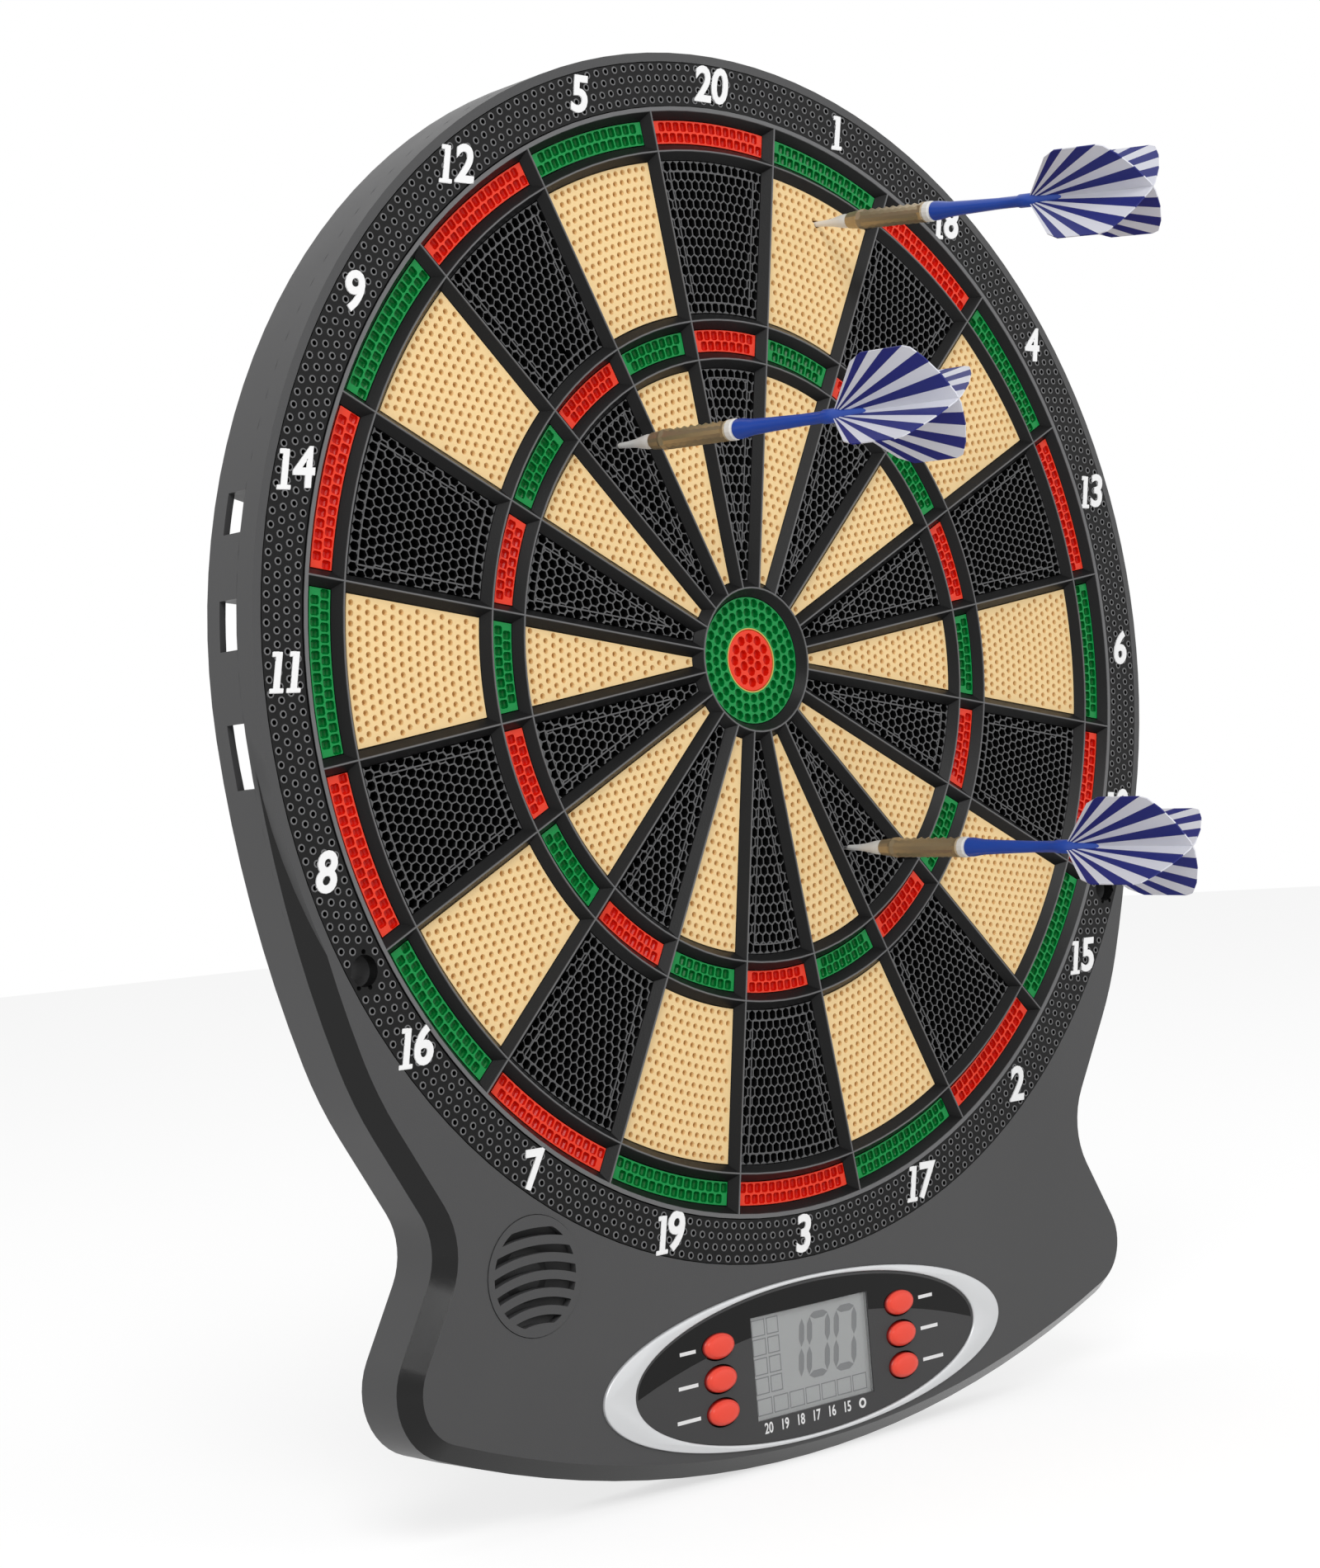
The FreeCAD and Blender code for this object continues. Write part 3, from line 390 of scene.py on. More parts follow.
steel = Finish("steel", (0.5, 0.5, 0.5), 0.3, Metallic=1.0)
inner_black = Finish("inner_black", grey(0.02), 0.6)
film = Finish("film", (0.65, 0.62, 0.5), 0.4)
pcb_green = Finish("pcb_green", (0.01, 0.16, 0.05), 0.35)
board_brown = Finish("board_brown", (0.25, 0.15, 0.07), 0.7, grain=900)
cell_label = Finish("cell_label", (0.03, 0.08, 0.2), 0.3)

CAD_FINISHES = {
    "housing_grey": casing, "ring_black": ring_black, "web_black": web_black,
    "segment_red": red_cells, "segment_green": green_cells, "segment_black": black_cells,
    "segment_beige": beige_cells, "board": board_brown, "film": film, "rubber": inner_black,
    "bezel_silver": bezel_silver, "panel_dark": panel_dark, "window_clear": window_clear,
    "lcd": lcd_grey, "pcb_green": pcb_green, "electronics": inner_black, "steel": steel,
    "button_red": button_red, "speaker": inner_black, "cell": cell_label, "brass": brass,
    "stem_blue": stem_blue, "tip_white": tip_white, "flight": flight_white}
for part in frame["record"]["subparts"]:
    node = frame["nodes"][part["node"]]
    for holder in node.material_slots:
        holder.material = CAD_FINISHES[part["material_slot"]].material


# ---------------------------------------------------------------- casing and web
def refined(node, name, body, slot, finish, angle=30):
    """The CAD node's own shape with its triangles merged and its round walls shaded smooth."""
    piece = twin(frame["nodes"][node])
    piece.parent = None
    piece.matrix_world = Matrix.Identity(4)
    piece.name = piece.data.name = name
    only(piece)
    bpy.ops.mesh.customdata_custom_splitnormals_clear()
    edit(piece)
    bpy.ops.mesh.remove_doubles(threshold=CAD_WELD)
    done()
    smooth(piece, angle)
    return fit(piece, body, slot, finish.material, node)


refined("front_shell", "front_casing", "housing", "housing_grey", casing)
refined("rear_shell", "rear_casing", "housing", "housing_grey", casing)
refined("spider_web", "web", "housing", "web_black", web_black, 20)
refined("speaker_grille", "speaker_slats", "housing", "housing_grey", casing)
refined("battery_door", "battery_lid", "battery_door", "housing_grey", casing)
refined("panel_face", "panel_plate", "housing", "panel_dark", panel_dark)


# ---------------------------------------------------------------- target
def sector_block(name, inner, outer, inset, low, high):
    """A ring sector about bearing 0, all four sides set in by the same inset.

    It is spun wider than a sector and then cut back to straight sides.
    """
    near, far = inner + inset, outer - inset
    steps = 24
    sweep = math.radians(steps)
    bpy.ops.mesh.primitive_plane_add(size=1, rotation=(0, math.pi / 2, 0),
                                     location=(0, (near + far) / 2 * MM, (low + high) / 2 * MM))
    piece = added(name)
    piece.scale = ((high - low) * MM, (far - near) * MM, 1)
    settle(piece).rotation_euler.z = sweep / 2
    settle(piece)
    edit(piece)
    bpy.ops.mesh.spin(steps=steps, angle=sweep, center=(0, 0, 0), axis=(0, 0, 1))
    for side in (1, -1):
        bpy.ops.mesh.select_all(action="SELECT")
        normal = Vector((side * math.cos(HALF_SECTOR), -math.sin(HALF_SECTOR), 0))
        bpy.ops.mesh.bisect(plane_co=-normal * inset * MM, plane_no=normal, use_fill=True,
                            clear_outer=True)
    bpy.ops.mesh.select_all(action="SELECT")
    bpy.ops.mesh.remove_doubles(threshold=WELD)
    bpy.ops.mesh.normals_make_consistent(inside=False)
    done()
    return piece


def sector_spots(inner, outer, rows, pitch, spare):
    """Places (radius, angle) of staggered rows of holes that cover a segment's face.

    Columns run straight up the segment, so that every row falls half a pitch beside the last.
    Holes reach spare past the segment's straight sides, or stop short of them if it is negative.
    """
    margin, most_columns = 0.2, 12
    near, far = inner + SEGMENT_INSET, outer - SEGMENT_INSET
    row_pitch = (far - near - 2 * margin) / rows
    spots = []
    for row in range(rows):
        radius = near + margin + (row + 0.5) * row_pitch
        reach = radius * HALF_SECTOR - SEGMENT_INSET + spare
        for column in range(-most_columns, most_columns + 1):
            across = (column + 0.5 * (row % 2)) * pitch
            if abs(across) <= reach:
                spots.append((radius, math.asin(across / radius)))
    return spots


def pit_cutter(model, spots):
    """Copies of the model at all the spots, as one piece."""
    pits = []
    for radius, angle in spots:
        pit = twin(model)
        pit.location = (radius * math.sin(angle) * MM, radius * math.cos(angle) * MM, 0)
        pit.rotation_euler.z = -angle
        pits.append(pit)
    bpy.data.objects.remove(model)
    return joined(pits, "pits")


def dart_frame(entry_x, entry_y, droop):
    """The dart's axis out of the board and the place of its buried point, board lying."""
    lean = math.radians(droop)
    tail = Vector((0, -math.sin(lean), math.cos(lean)))
    return tail, Vector((entry_x, entry_y, SEGMENT_FACE)) * MM - tail * DART_DEPTH * MM


def round_the_board(model, name, first, dart_holes):
    """Ten copies of a segment at every second number, with the holes that darts are in."""
    copies = []
    for step in range(10):
        bearing = math.radians(SECTOR_DEGREES * (2 * step + first))
        piece = twin(model)
        piece.rotation_euler.z = -bearing
        settle(piece)
        for x, y, droop in dart_holes:
            off = (math.atan2(x, y) - bearing + math.pi) % (2 * math.pi) - math.pi
            if abs(off) < HALF_SECTOR:
                tail, point = dart_frame(x, y, droop)
                hole = rod("dart_hole", 24, 0, 12, DART_HOLE_RADIUS)
                hole.rotation_mode = "QUATERNION"
                hole.rotation_quaternion = tail.to_track_quat("Z", "Y")
                hole.location = point
                cut(piece, hole, overlaps=True)
        copies.append(piece)
    bpy.data.objects.remove(model)
    return upright(joined(copies, name))


def segment(ring, hole, rows, pitch, spare, ridge_inset=None):
    """A segment's key with its cells, on its flange, with a thin ridge on its face if asked."""
    inner, outer = RINGS[ring]
    key = sector_block("segment", inner, outer, SEGMENT_INSET, SEGMENT_BASE, SEGMENT_FACE)
    cut(key, pit_cutter(hole, sector_spots(inner, outer, rows, pitch, spare)))
    flange = sector_block("flange", inner, outer, FLANGE_INSET, SEGMENT_BASE, FLANGE_TOP)
    parts = [key, flange]
    if ridge_inset:
        ridge_width, ridge_foot = 0.42, 17.6
        ridge = sector_block("ridge", inner, outer, ridge_inset, ridge_foot, SEGMENT_FACE + 0.08)
        cut(ridge, sector_block("inside", inner, outer, ridge_inset + ridge_width,
                                ridge_foot - 0.6, SEGMENT_FACE + 1))
        parts.append(ridge)
    return joined(parts, "segment")


def beige_segment(ring, rows):
    """A single with small round pits."""
    pit = rod("pit", 10, SEGMENT_FACE - 1.3, SEGMENT_FACE + 0.15, 0.98, foot=0.55)
    return segment(ring, pit, rows, SINGLES_PITCH, -1.0)


def black_segment(ring, rows, ridge_inset):
    """A single with deep six-sided cells that run out through its sides."""
    width, length = 2.62, 3.5
    cell = rod("cell", 6, SEGMENT_FACE - 3.0, SEGMENT_FACE + 0.3,
               width / 2 / math.cos(math.pi / 6), length / 2, foot=0.86)
    return segment(ring, cell, rows, SINGLES_PITCH, 1.2, ridge_inset)


def narrow_segment(ring):
    """A double or treble with two rows of tapered oblong cells with cut corners."""
    width, length = 2.74, 3.02
    cell = rod("cell", 4, SEGMENT_FACE - 1.5, SEGMENT_FACE + 0.8, math.sqrt(0.5), foot=0.85)
    cell.rotation_euler.z = math.pi / 4
    settle(cell).scale = (width, length, 1)
    modify(settle(cell), "BEVEL", width=0.45 * MM, segments=1)
    return segment(ring, cell, 2, NARROW_PITCH, -0.9)


beige, black = (beige_cells, "segment_beige"), (black_cells, "segment_black")
red, green = (red_cells, "segment_red"), (green_cells, "segment_green")
OUTER_ROWS, INNER_ROWS = 16, 22
groups = [
    ("outer_singles_beige", 1, beige, beige_segment("outer", OUTER_ROWS)),
    ("inner_singles_beige", 1, beige, beige_segment("inner", INNER_ROWS)),
    ("outer_singles_black", 0, black, black_segment("outer", OUTER_ROWS, SEGMENT_INSET + 3.0)),
    ("inner_singles_black", 0, black, black_segment("inner", INNER_ROWS, SEGMENT_INSET + 2.6))]
for ring in ("double", "treble"):
    model = narrow_segment(ring)
    groups.append((ring + "s_red", 0, red, twin(model)))
    groups.append((ring + "s_green", 1, green, model))
for name, first, (finish, slot), model in groups:
    holes = list(DARTS.values()) if "singles" in name else []
    piece = round_the_board(model, name + "_face", first, holes)
    fit(piece, name, slot, finish.material, name)


BULL_SIDES = 96


def bull(name, body, finish, slot, profile, rings, bore=False):
    """A turned bull face with rings of pits: (radius, count, half length) for each ring.

    A ring's pits are as wide as its circle leaves room for, less a thin wall.
    """
    piece = lathe(name, BULL_SIDES, profile, bore)
    pits = []
    for radius, count, half_length in rings:
        half_width = max(half_length, 0.96 * math.pi * radius / count)
        for step in range(count):
            turn = 2 * math.pi * step / count
            pit = rod("pit", 8, SEGMENT_FACE - 1.2, SEGMENT_FACE + 0.3, half_width, half_length,
                      foot=0.75)
            pit.location = (radius * math.sin(turn) * MM, radius * math.cos(turn) * MM, 0)
            pit.rotation_euler.z = -turn
            pits.append(pit)
    cut(piece, joined(pits, "pits"))
    upright(piece)
    smooth(piece, 25)
    return fit(piece, body, slot, finish.material, body)


outer_profile = [(21.9, SEGMENT_BASE), (21.9, FLANGE_TOP), (19.8, FLANGE_TOP),
                 (19.8, SEGMENT_FACE), (10.0, SEGMENT_FACE), (10.0, 16.15), (12.3, 16.15),
                 (12.3, SEGMENT_BASE)]
bull("outer_bull_face", "outer_bull", green_cells, "segment_green", outer_profile,
     [(18.15, 34, 1.5), (15.05, 28, 1.5), (11.95, 22, 1.5)], bore=True)
inner_profile = [(11.9, SEGMENT_BASE), (11.9, FLANGE_TOP), (9.7, FLANGE_TOP),
                 (9.7, SEGMENT_FACE - 0.3), (9.4, SEGMENT_FACE)]
bull("inner_bull_face", "inner_bull", red_cells, "segment_red", inner_profile,
     [(0.0, 1, 1.6), (3.45, 6, 1.65), (6.95, 12, 1.7)])
line_foot, line_top = 18.4, 19.08
bull_line = lathe("bull_line", BULL_SIDES, [(9.74, line_foot), (10.1, line_foot),
                                            (10.1, line_top), (9.74, line_top)], bore=True)
fit(upright(bull_line), "outer_bull", "segment_beige", bull_yellow.material)


# ---------------------------------------------------------------- catch ring and numbers
def catch_ring_face():
    """A flat ring with four staggered rows of small round pits, each inside a raised rim."""
    ring = lathe("catch_ring_face", 240,
                 [(RING_INNER, RING_BACK), (RING_INNER, RING_FACE), (RING_OUTER, RING_FACE),
                  (RING_OUTER, RING_BACK)], bore=True)
    first_row, row_pitch, count = 174.75, 3.35, 300
    spots = []
    for row in range(4):
        for step in range(count):
            turn = 2 * math.pi * (step + 0.5 * (row % 2)) / count
            spots.append((first_row + row_pitch * row, turn))
    holes = [rod("wall_hole", 40, BELOW_FRONT, ABOVE_FRONT, WALL_HOLE_RADIUS,
                 x=side * WALL_HOLE_X, y=WALL_HOLE_Y) for side in (-1, 1)]
    pits = pit_cutter(rod("pit", 8, RING_FACE - 1.5, RING_FACE + 0.1, 0.78, foot=0.7), spots)
    cut(ring, joined([pits] + holes, "holes"), overlaps=True)
    rim_foot, rim_top = RING_FACE - 0.1, RING_FACE + 0.26
    rim = lathe("rim", 10, [(0.74, rim_foot), (0.76, rim_top), (1.06, rim_top),
                            (1.35, rim_foot)], bore=True)
    clear = [(radius, turn) for radius, turn in spots
             if math.hypot(abs(radius * math.sin(turn)) - WALL_HOLE_X,
                           radius * math.cos(turn) - WALL_HOLE_Y) > WALL_HOLE_RADIUS + 1.1]
    return joined([ring, pit_cutter(rim, clear)], "catch_ring_face")


ring = catch_ring_face()
lip = lathe("lip", 160, [(LIP_INNER, RING_BACK), (LIP_OUTER, RING_BACK), (LIP_OUTER, RING_LIP),
                         (LIP_INNER, RING_LIP)], bore=True)
ring = upright(joined([ring, lip], "catch_ring_face"))
fit(ring, "housing", "ring_black", ring_black.material, "catch_ring")


def lettering(name, text, x, y, size, low, depth, bold=0.0, shear=0.0, narrow=1.0, bevel=0.0):
    """Raised or printed numerals, centred on x and y."""
    bpy.ops.object.text_add()
    piece = added(name)
    piece.data.body = text
    piece.data.align_x, piece.data.align_y = "CENTER", "CENTER"
    piece.data.size = size * MM
    piece.data.shear = shear
    piece.data.offset = bold * MM
    piece.data.extrude = depth / 2 * MM
    piece.data.bevel_depth = bevel * MM
    piece.data.resolution_u = 4
    only(piece)
    bpy.ops.object.convert(target="MESH")
    piece = added(name)
    piece.scale.x = narrow
    piece.location = (x * MM, y * MM, (low + depth / 2) * MM)
    return settle(piece)


NUMBER_ROOT, NUMBER_DEPTH = 0.2, 0.6


def figure_one():
    """A leaning 1 with a flag at its head and a foot."""
    low, high = RING_FACE - NUMBER_ROOT, RING_FACE - NUMBER_ROOT + NUMBER_DEPTH
    figure = joined([block("stem", -0.95, 1.25, -5.6, 5.6, low, high),
                     block("foot", -2.2, 2.5, -5.7, -4.3, low, high + 0.02),
                     block("flag", -2.1, 0.2, 4.2, 5.7, low, high + 0.02)], "figure")
    modify(figure, "BEVEL", width=0.28 * MM, segments=2)
    for vertex in figure.data.vertices:
        vertex.co.x += NUMBER_SLANT * vertex.co.y
    return figure


def ring_number(number, x, y):
    """The figures of a number side by side, centred on x and y."""
    gap = 0.1
    figures, left = [], 0.0
    for character in str(number):
        if character == "1":
            figure = figure_one()
        else:
            figure = lettering("figure", character, 0, 0, NUMBER_SIZE, RING_FACE - NUMBER_ROOT,
                               NUMBER_DEPTH, bold=0.32, shear=NUMBER_SLANT, narrow=0.92,
                               bevel=0.1)
        reach = [vertex.co.x / MM for vertex in figure.data.vertices]
        figure.location.x = (left - min(reach)) * MM
        left += max(reach) - min(reach) + gap
        figures.append(figure)
    word = settle(joined(figures, "number"))
    word.location = ((x - (left - gap) / 2) * MM, y * MM, 0)
    return settle(word)


numerals = []
for place, number in enumerate(NUMBERS):
    bearing = math.radians(SECTOR_DEGREES * place)
    numerals.append(ring_number(number, NUMBER_RADIUS * math.sin(bearing),
                                NUMBER_RADIUS * math.cos(bearing)))
numerals = upright(joined(numerals, "ring_numbers"))
fit(numerals, "housing", "tip_white", number_white.material)


# ---------------------------------------------------------------- control panel
bezel = rod("bezel", OVAL_SIDES, PANEL_LEDGE, BEZEL_FACE, *BEZEL_OVAL, y=PANEL_Y)
cut(bezel, rod("opening", OVAL_SIDES, BELOW_FRONT, ABOVE_FRONT, *BEZEL_OPENING, y=PANEL_Y))
modify(bezel, "BEVEL", width=0.55 * MM, segments=3, limit_method="ANGLE",
       angle_limit=math.radians(50))
smooth(upright(bezel), 40)
fit(bezel, "housing", "bezel_silver", bezel_silver.material, "panel_bezel")

band = rod("gloss_band", OVAL_SIDES, PANEL_FACE, PANEL_FACE + GLOSS_RISE, *GLOSS_OVAL, y=PANEL_Y)
cut(band, rod("arch", OVAL_SIDES, BELOW_FRONT, ABOVE_FRONT, 190, 150, y=PANEL_Y - 138.5))
cut(band, block("display_gap", -25.9, 25.9, PANEL_Y - 20, PANEL_Y + 15.9, BELOW_FRONT,
                ABOVE_FRONT))
fit(upright(band), "housing", "panel_dark", panel_gloss.material)


def button_cap(body, x, y):
    """A domed oval cap with a soft edge, its top drawn up in narrowing steps."""
    cap = rod(body + "_cap", 48, BUTTON_BASE, BUTTON_SHOULDER, *BUTTON_OVAL, x=x, y=y)
    edit(cap, "DESELECT")
    done()
    for face in cap.data.polygons:
        face.select = face.normal.z > 0.9
    bpy.ops.object.mode_set(mode="EDIT")
    for rise, shrink in ((0.5, 0.93), (0.08, 0.94), (0.42, 0.95), (0.33, 0.86), (0.18, 0.7),
                         (0.09, 0.4)):
        bpy.ops.mesh.extrude_region_move(TRANSFORM_OT_translate={"value": (0, 0, rise * MM)})
        bpy.ops.transform.resize(value=(shrink, shrink, 1), center_override=(x * MM, y * MM, 0))
    done()
    smooth(upright(cap), 60)
    return fit(cap, body, "button_red", button_red.material, body)


for side, word in ((-1, "left"), (1, "right")):
    for step, level in enumerate(("upper", "middle", "lower")):
        button_cap("button_%s_%s" % (word, level), side * BUTTON_COLUMN,
                   PANEL_Y + (1 - step) * BUTTON_PITCH)


def display_bar(x, y, length, thick, turn):
    """One flat bar of a seven-bar numeral, pointed at both ends."""
    bar = rod("bar", 6, DISPLAY_FACE, DISPLAY_FACE + 0.04, thick / 2, length / 2)
    bar.rotation_euler.z = turn
    bar.location = (x * MM, y * MM, 0)
    return bar


def seven_bar(x, y, lit):
    """A numeral from the bars named in lit.

    They are t, m and b at the top, middle and bottom, 1 and 2 at the left and right of the upper
    half, and 3 and 4 at the left and right of the lower half.
    """
    tall, wide, thick, slant = 18, 8, 2.6, 0.12
    bars = []
    for key, up in (("t", tall / 2), ("m", 0), ("b", -tall / 2)):
        if key in lit:
            bars.append(display_bar(x + up * slant, y + up, wide, thick, math.pi / 2))
    for key, up, side in (("1", 1, -1), ("2", 1, 1), ("3", -1, -1), ("4", -1, 1)):
        if key in lit:
            rise = up * tall / 4
            bars.append(display_bar(x + side * wide / 2 + rise * slant, y + rise,
                                    tall / 2 * 0.96, thick, -slant))
    return bars


bars = []
for x, lit in ((-7.5, "24"), (4.0, "tb1234"), (16.0, "tb1234")):
    bars += seven_bar(x, PANEL_Y + 3.0, lit)
digits = upright(joined(bars, "display_digits"))
fit(digits, "housing", "lcd", lcd_dark.material)


def outline_box(left, right, bottom, top):
    """Four thin printed lines round a box on the display."""
    line, low, high = 0.35, DISPLAY_FACE, DISPLAY_FACE + 0.03
    return [block("line", left, right, bottom, bottom + line, low, high),
            block("line", left, right, top - line, top, low, high),
            block("line", left, left + line, bottom, top, low, high),
            block("line", right - line, right, bottom, top, low, high)]


lines = []
for step in range(4):
    bottom = PANEL_Y - 8.2 + 5.9 * step
    for left, right in ((-24.3, -18.6), (-17.9, -12.8)):
        lines += outline_box(left, right, bottom, bottom + 5.2)
for step in range(7):
    left = -24.3 + 7.0 * step
    lines += outline_box(left, left + 6.4, PANEL_Y - 14.6, PANEL_Y - 9.4)
display_lines = upright(joined(lines, "display_lines"))
fit(display_lines, "housing", "lcd", lcd_line.material)

marks = []
for step, number in enumerate((20, 19, 18, 17, 16, 15)):
    marks.append(lettering("mark", str(number), -21.5 + 6.9 * step, MARK_ROW_Y, 4.6,
                           PANEL_FACE + 0.02, 0.06, bold=0.08, narrow=0.8))
bull_mark = rod("mark", 24, PANEL_FACE, PANEL_FACE + PRINT_RISE, 1.6, x=20.0, y=MARK_ROW_Y)
marks.append(cut(bull_mark, rod("hole", 24, BELOW_FRONT, ABOVE_FRONT, 0.85, x=20.0,
                                y=MARK_ROW_Y)))
bar_start, bar_half = 49.3, 0.55
for side in (-1, 1):
    for step, length in enumerate((6.5, 8.0, 9.5)):
        y = PANEL_Y + (1 - step) * BUTTON_PITCH
        left, right = sorted((side * bar_start, side * (bar_start + length)))
        marks.append(block("mark", left, right, y - bar_half, y + bar_half, PANEL_FACE,
                           PANEL_FACE + PRINT_RISE))
marks = upright(joined(marks, "panel_marks"))
fit(marks, "housing", "tip_white", print_white.material)


# ---------------------------------------------------------------- darts
def knurled(name, profile, sides, first, last):
    """A turned barrel whose grip, from ring first to ring last of its profile, is pressed in at
    every second crossing."""
    pressed = 0.82
    piece = lathe(name, sides, profile)
    rows = {round(height * MM, 6): row for row, (_, height) in enumerate(profile)}
    for vertex in piece.data.vertices:
        row = rows.get(round(vertex.co.z, 6), -1)
        spoke = round(math.atan2(vertex.co.x, vertex.co.y) / (2 * math.pi) * sides)
        if first <= row <= last and (row + spoke) % 2:
            vertex.co.x *= pressed
            vertex.co.y *= pressed
    return piece


def dart_parts():
    """Tip, barrel, stem and flight along +Z, the buried point at the origin."""
    tip = lathe("tip", 24, [(0.25, 0), (0.5, 0.4), (0.85, 5), (1.0, 9), (1.3, 12), (2.1, 16.5),
                            (2.25, 17.6), (2.25, 19.45)])
    nose = [(2.3, 19.5), (2.5, 19.8), (2.6, 21.0), (2.9, 24.0)]
    steps, grip_start, grip_length, grip_radius = 18, 25.0, 27.5, 3.18
    grip = [(grip_radius, grip_start + grip_length * step / steps) for step in range(steps + 1)]
    collar_foot = 53.1
    collar = [(3.0, 52.9), (3.0, collar_foot), (3.2, 53.2), (3.2, 55.3), (2.9, 55.8), (2.6, 56.0)]
    barrel = knurled("barrel", nose + grip + collar, 16, len(nose) + 1, len(nose) + steps - 1)
    barrel.data.materials.append(brass.material)
    barrel.data.materials.append(tip_white.material)
    for face in barrel.data.polygons:
        face.material_index = int(face.center.z > collar_foot * MM)
    stem = lathe("stem", 24, [(2.6, 56.0), (3.0, 56.3), (2.95, 58), (2.4, 62), (2.1, 70),
                              (1.75, 82), (1.75, 90), (2.1, 91), (2.1, 97), (1.6, 98),
                              (1.3, 106), (0.8, 107)])
    return {"tip": tip, "barrel": barrel, "stem": stem, "flight": flight()}


def flight():
    """Four equal vanes, each a trimmed sheet with stripes that fan out from near its root."""
    span, length, root, thick = 18.0, 45.0, 96.0, 0.4
    stripes, fan, fan_start = 9, math.radians(47), -2 * MM
    first_vane = 20  # degrees
    bpy.ops.mesh.primitive_plane_add(size=1, location=(span / 2 * MM, length / 2 * MM, 0))
    vane = added("vane")
    vane.scale = (span * MM, length * MM, 1)
    settle(vane)
    edit(vane)
    trims = [((2.2, 0), (15.8, 14.0)), ((15.8, 14.0), (18.0, 19.0)),
             ((18.0, 34.5), (17.2, 37.0)), ((17.2, 37.0), (13.6, 40.0)),
             ((13.6, 40.0), (8.0, 43.0)), ((8.0, 43.0), (0, 45.5))]
    for (x0, y0), (x1, y1) in trims:
        bpy.ops.mesh.select_all(action="SELECT")
        normal = Vector((y1 - y0, x0 - x1, 0)).normalized()
        bpy.ops.mesh.bisect(plane_co=(x0 * MM, y0 * MM, 0), plane_no=normal, clear_outer=True)
    for step in range(1, stripes):
        angle = fan * step / stripes
        bpy.ops.mesh.select_all(action="SELECT")
        bpy.ops.mesh.bisect(plane_co=(0, fan_start, 0),
                            plane_no=(math.cos(angle), -math.sin(angle), 0))
    done()
    vane.data.materials.append(flight_white.material)
    vane.data.materials.append(flight_blue.material)
    for face in vane.data.polygons:
        angle = math.atan2(face.center.x, face.center.y - fan_start)
        face.material_index = int(angle / fan * stripes) % 2
    vane.rotation_euler = (math.pi / 2, 0, 0)
    vane.location = (0, 0, root * MM)
    settle(vane)
    modify(vane, "SOLIDIFY", thickness=thick * MM, offset=0.0)
    vanes = []
    for step in range(4):
        piece = twin(vane)
        piece.rotation_euler.z = math.radians(first_vane + 90 * step)
        vanes.append(settle(piece))
    bpy.data.objects.remove(vane)
    return joined(vanes, "flight")


models = dart_parts()
# the barrel and the flight bring their two materials with them
dart_slots = {"tip": ("tip_white", tip_white), "barrel": ("brass", None),
              "stem": ("stem_blue", stem_blue), "flight": ("flight", None)}
for dart, (x, y, droop) in DARTS.items():
    tail, point = dart_frame(x, y, droop)
    for kind, model in models.items():
        piece = twin(model)
        piece.name = piece.data.name = "%s_%s_piece" % (dart, kind)
        piece.rotation_mode = "QUATERNION"
        spin = Quaternion((0, 0, 1), math.radians(SPINS[dart]))
        piece.rotation_quaternion = Vector((0, 0, 1)).rotation_difference(tail) @ spin
        piece.location = point
        settle(piece).rotation_mode = "XYZ"
        upright(piece)
        if kind != "flight":
            smooth(piece, 8 if kind == "barrel" else 50)
        slot, finish = dart_slots[kind]
        if finish:
            piece.data.materials.append(finish.material)
        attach(piece, dart)
        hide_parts("%s_%s" % (dart, kind))
for model in models.values():
    bpy.data.objects.remove(model)


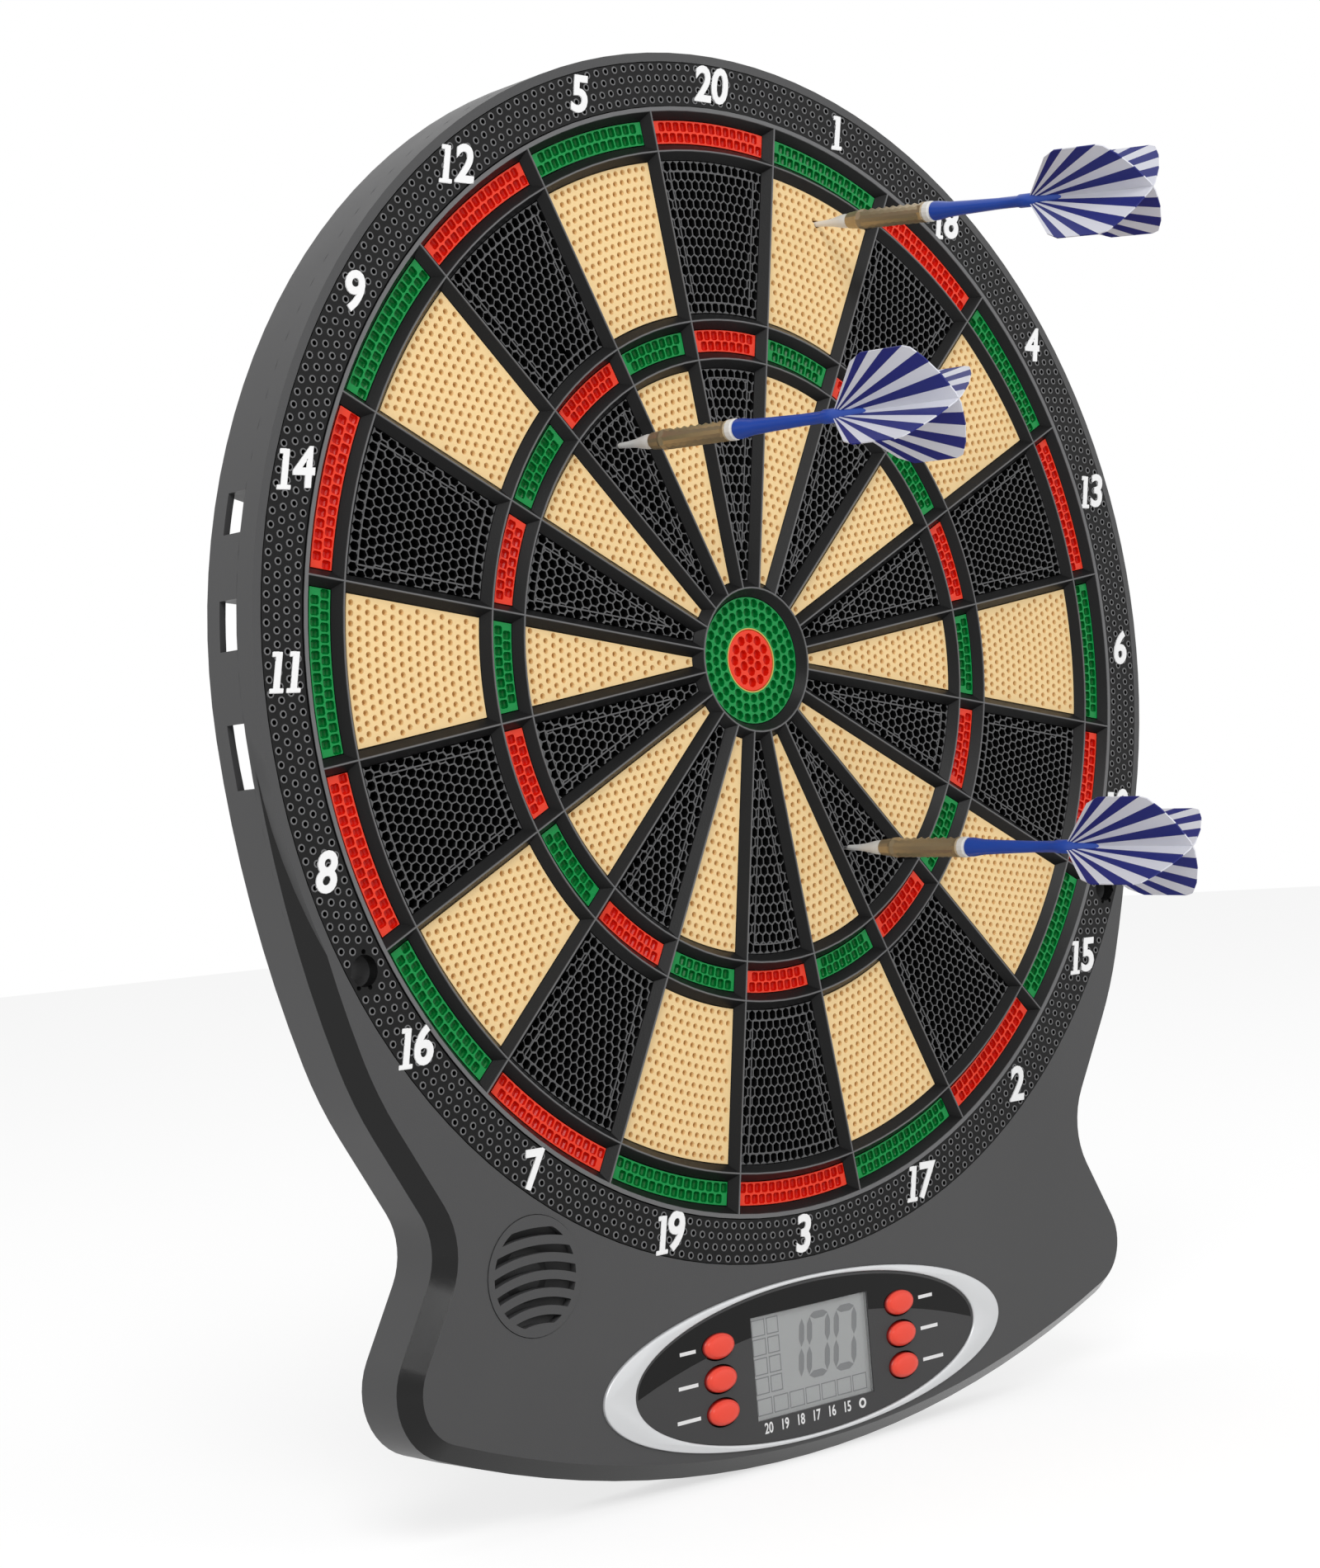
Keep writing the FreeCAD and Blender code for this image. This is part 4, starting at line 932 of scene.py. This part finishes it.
# ---------------------------------------------------------------- room
def seen_white(tree, base, extra):
    """Shows the extra shader to the camera and in reflections, and lights with the base one."""
    path = tree.nodes.new("ShaderNodeLightPath")
    seen = tree.nodes.new("ShaderNodeMath")
    seen.operation = "MAXIMUM"
    tree.links.new(path.outputs["Is Camera Ray"], seen.inputs[0])
    tree.links.new(path.outputs["Is Glossy Ray"], seen.inputs[1])
    through = tree.nodes.new("ShaderNodeMath")
    through.operation = "MAXIMUM"
    tree.links.new(seen.outputs[0], through.inputs[0])
    tree.links.new(path.outputs["Is Transmission Ray"], through.inputs[1])
    mix = tree.nodes.new("ShaderNodeMixShader")
    tree.links.new(through.outputs[0], mix.inputs[0])
    tree.links.new(base, mix.inputs[1])
    tree.links.new(extra, mix.inputs[2])
    return mix.outputs[0]


def background(node, strength):
    node.inputs["Color"].default_value = (1, 1, 1, 1)
    node.inputs["Strength"].default_value = strength
    return node.outputs[0]


world = bpy.data.worlds.new("studio")
bpy.context.scene.world = world
world.use_nodes = True
tree = world.node_tree
soft = background(tree.nodes["Background"], 0.55)
white = background(tree.nodes.new("ShaderNodeBackground"), 1.0)
tree.links.new(seen_white(tree, soft, white), tree.nodes["World Output"].inputs["Surface"])

bpy.ops.object.select_all(action="DESELECT")
bpy.ops.mesh.primitive_plane_add(size=8, location=(0, 0, cad_box[0][2]))
floor = added("floor")
floor_white = bpy.data.materials.new("floor_white")
floor_white.use_nodes = True
tree = floor_white.node_tree
matt = tree.nodes.new("ShaderNodeBsdfDiffuse")
matt.inputs["Color"].default_value = (0.96, 0.96, 0.96, 1)
glow = tree.nodes.new("ShaderNodeEmission")
glow.inputs["Strength"].default_value = 1.3
half = tree.nodes.new("ShaderNodeMixShader")
half.inputs[0].default_value = 0.5
tree.links.new(matt.outputs[0], half.inputs[1])
tree.links.new(glow.outputs[0], half.inputs[2])
tree.links.new(seen_white(tree, matt.outputs[0], half.outputs[0]),
               tree.nodes["Material Output"].inputs["Surface"])
floor.data.materials.append(floor_white)


def lamp(name, place, size, power):
    """A square lamp that faces the middle of the target."""
    bpy.ops.object.light_add(type="AREA", location=place)
    light = added(name)
    light.data.size = size
    light.data.energy = power
    light.rotation_euler = (-Vector(place)).to_track_quat("-Z", "Y").to_euler()


lamp("key", (-1.3, -1.5, 1.5), 1.1, 26)
lamp("fill", (1.2, -2.2, 0.6), 2.4, 10)

bpy.ops.object.camera_add(location=(-0.6529, -0.6821, -0.0515))
camera = added("camera")
camera.rotation_euler = [math.radians(angle) for angle in (90.942, 4.580, -42.550)]
camera.data.lens, camera.data.sensor_width = 68.42, 36
camera.data.clip_start = 0.01
bpy.context.scene.camera = camera
bpy.context.scene.view_settings.view_transform = "Standard"
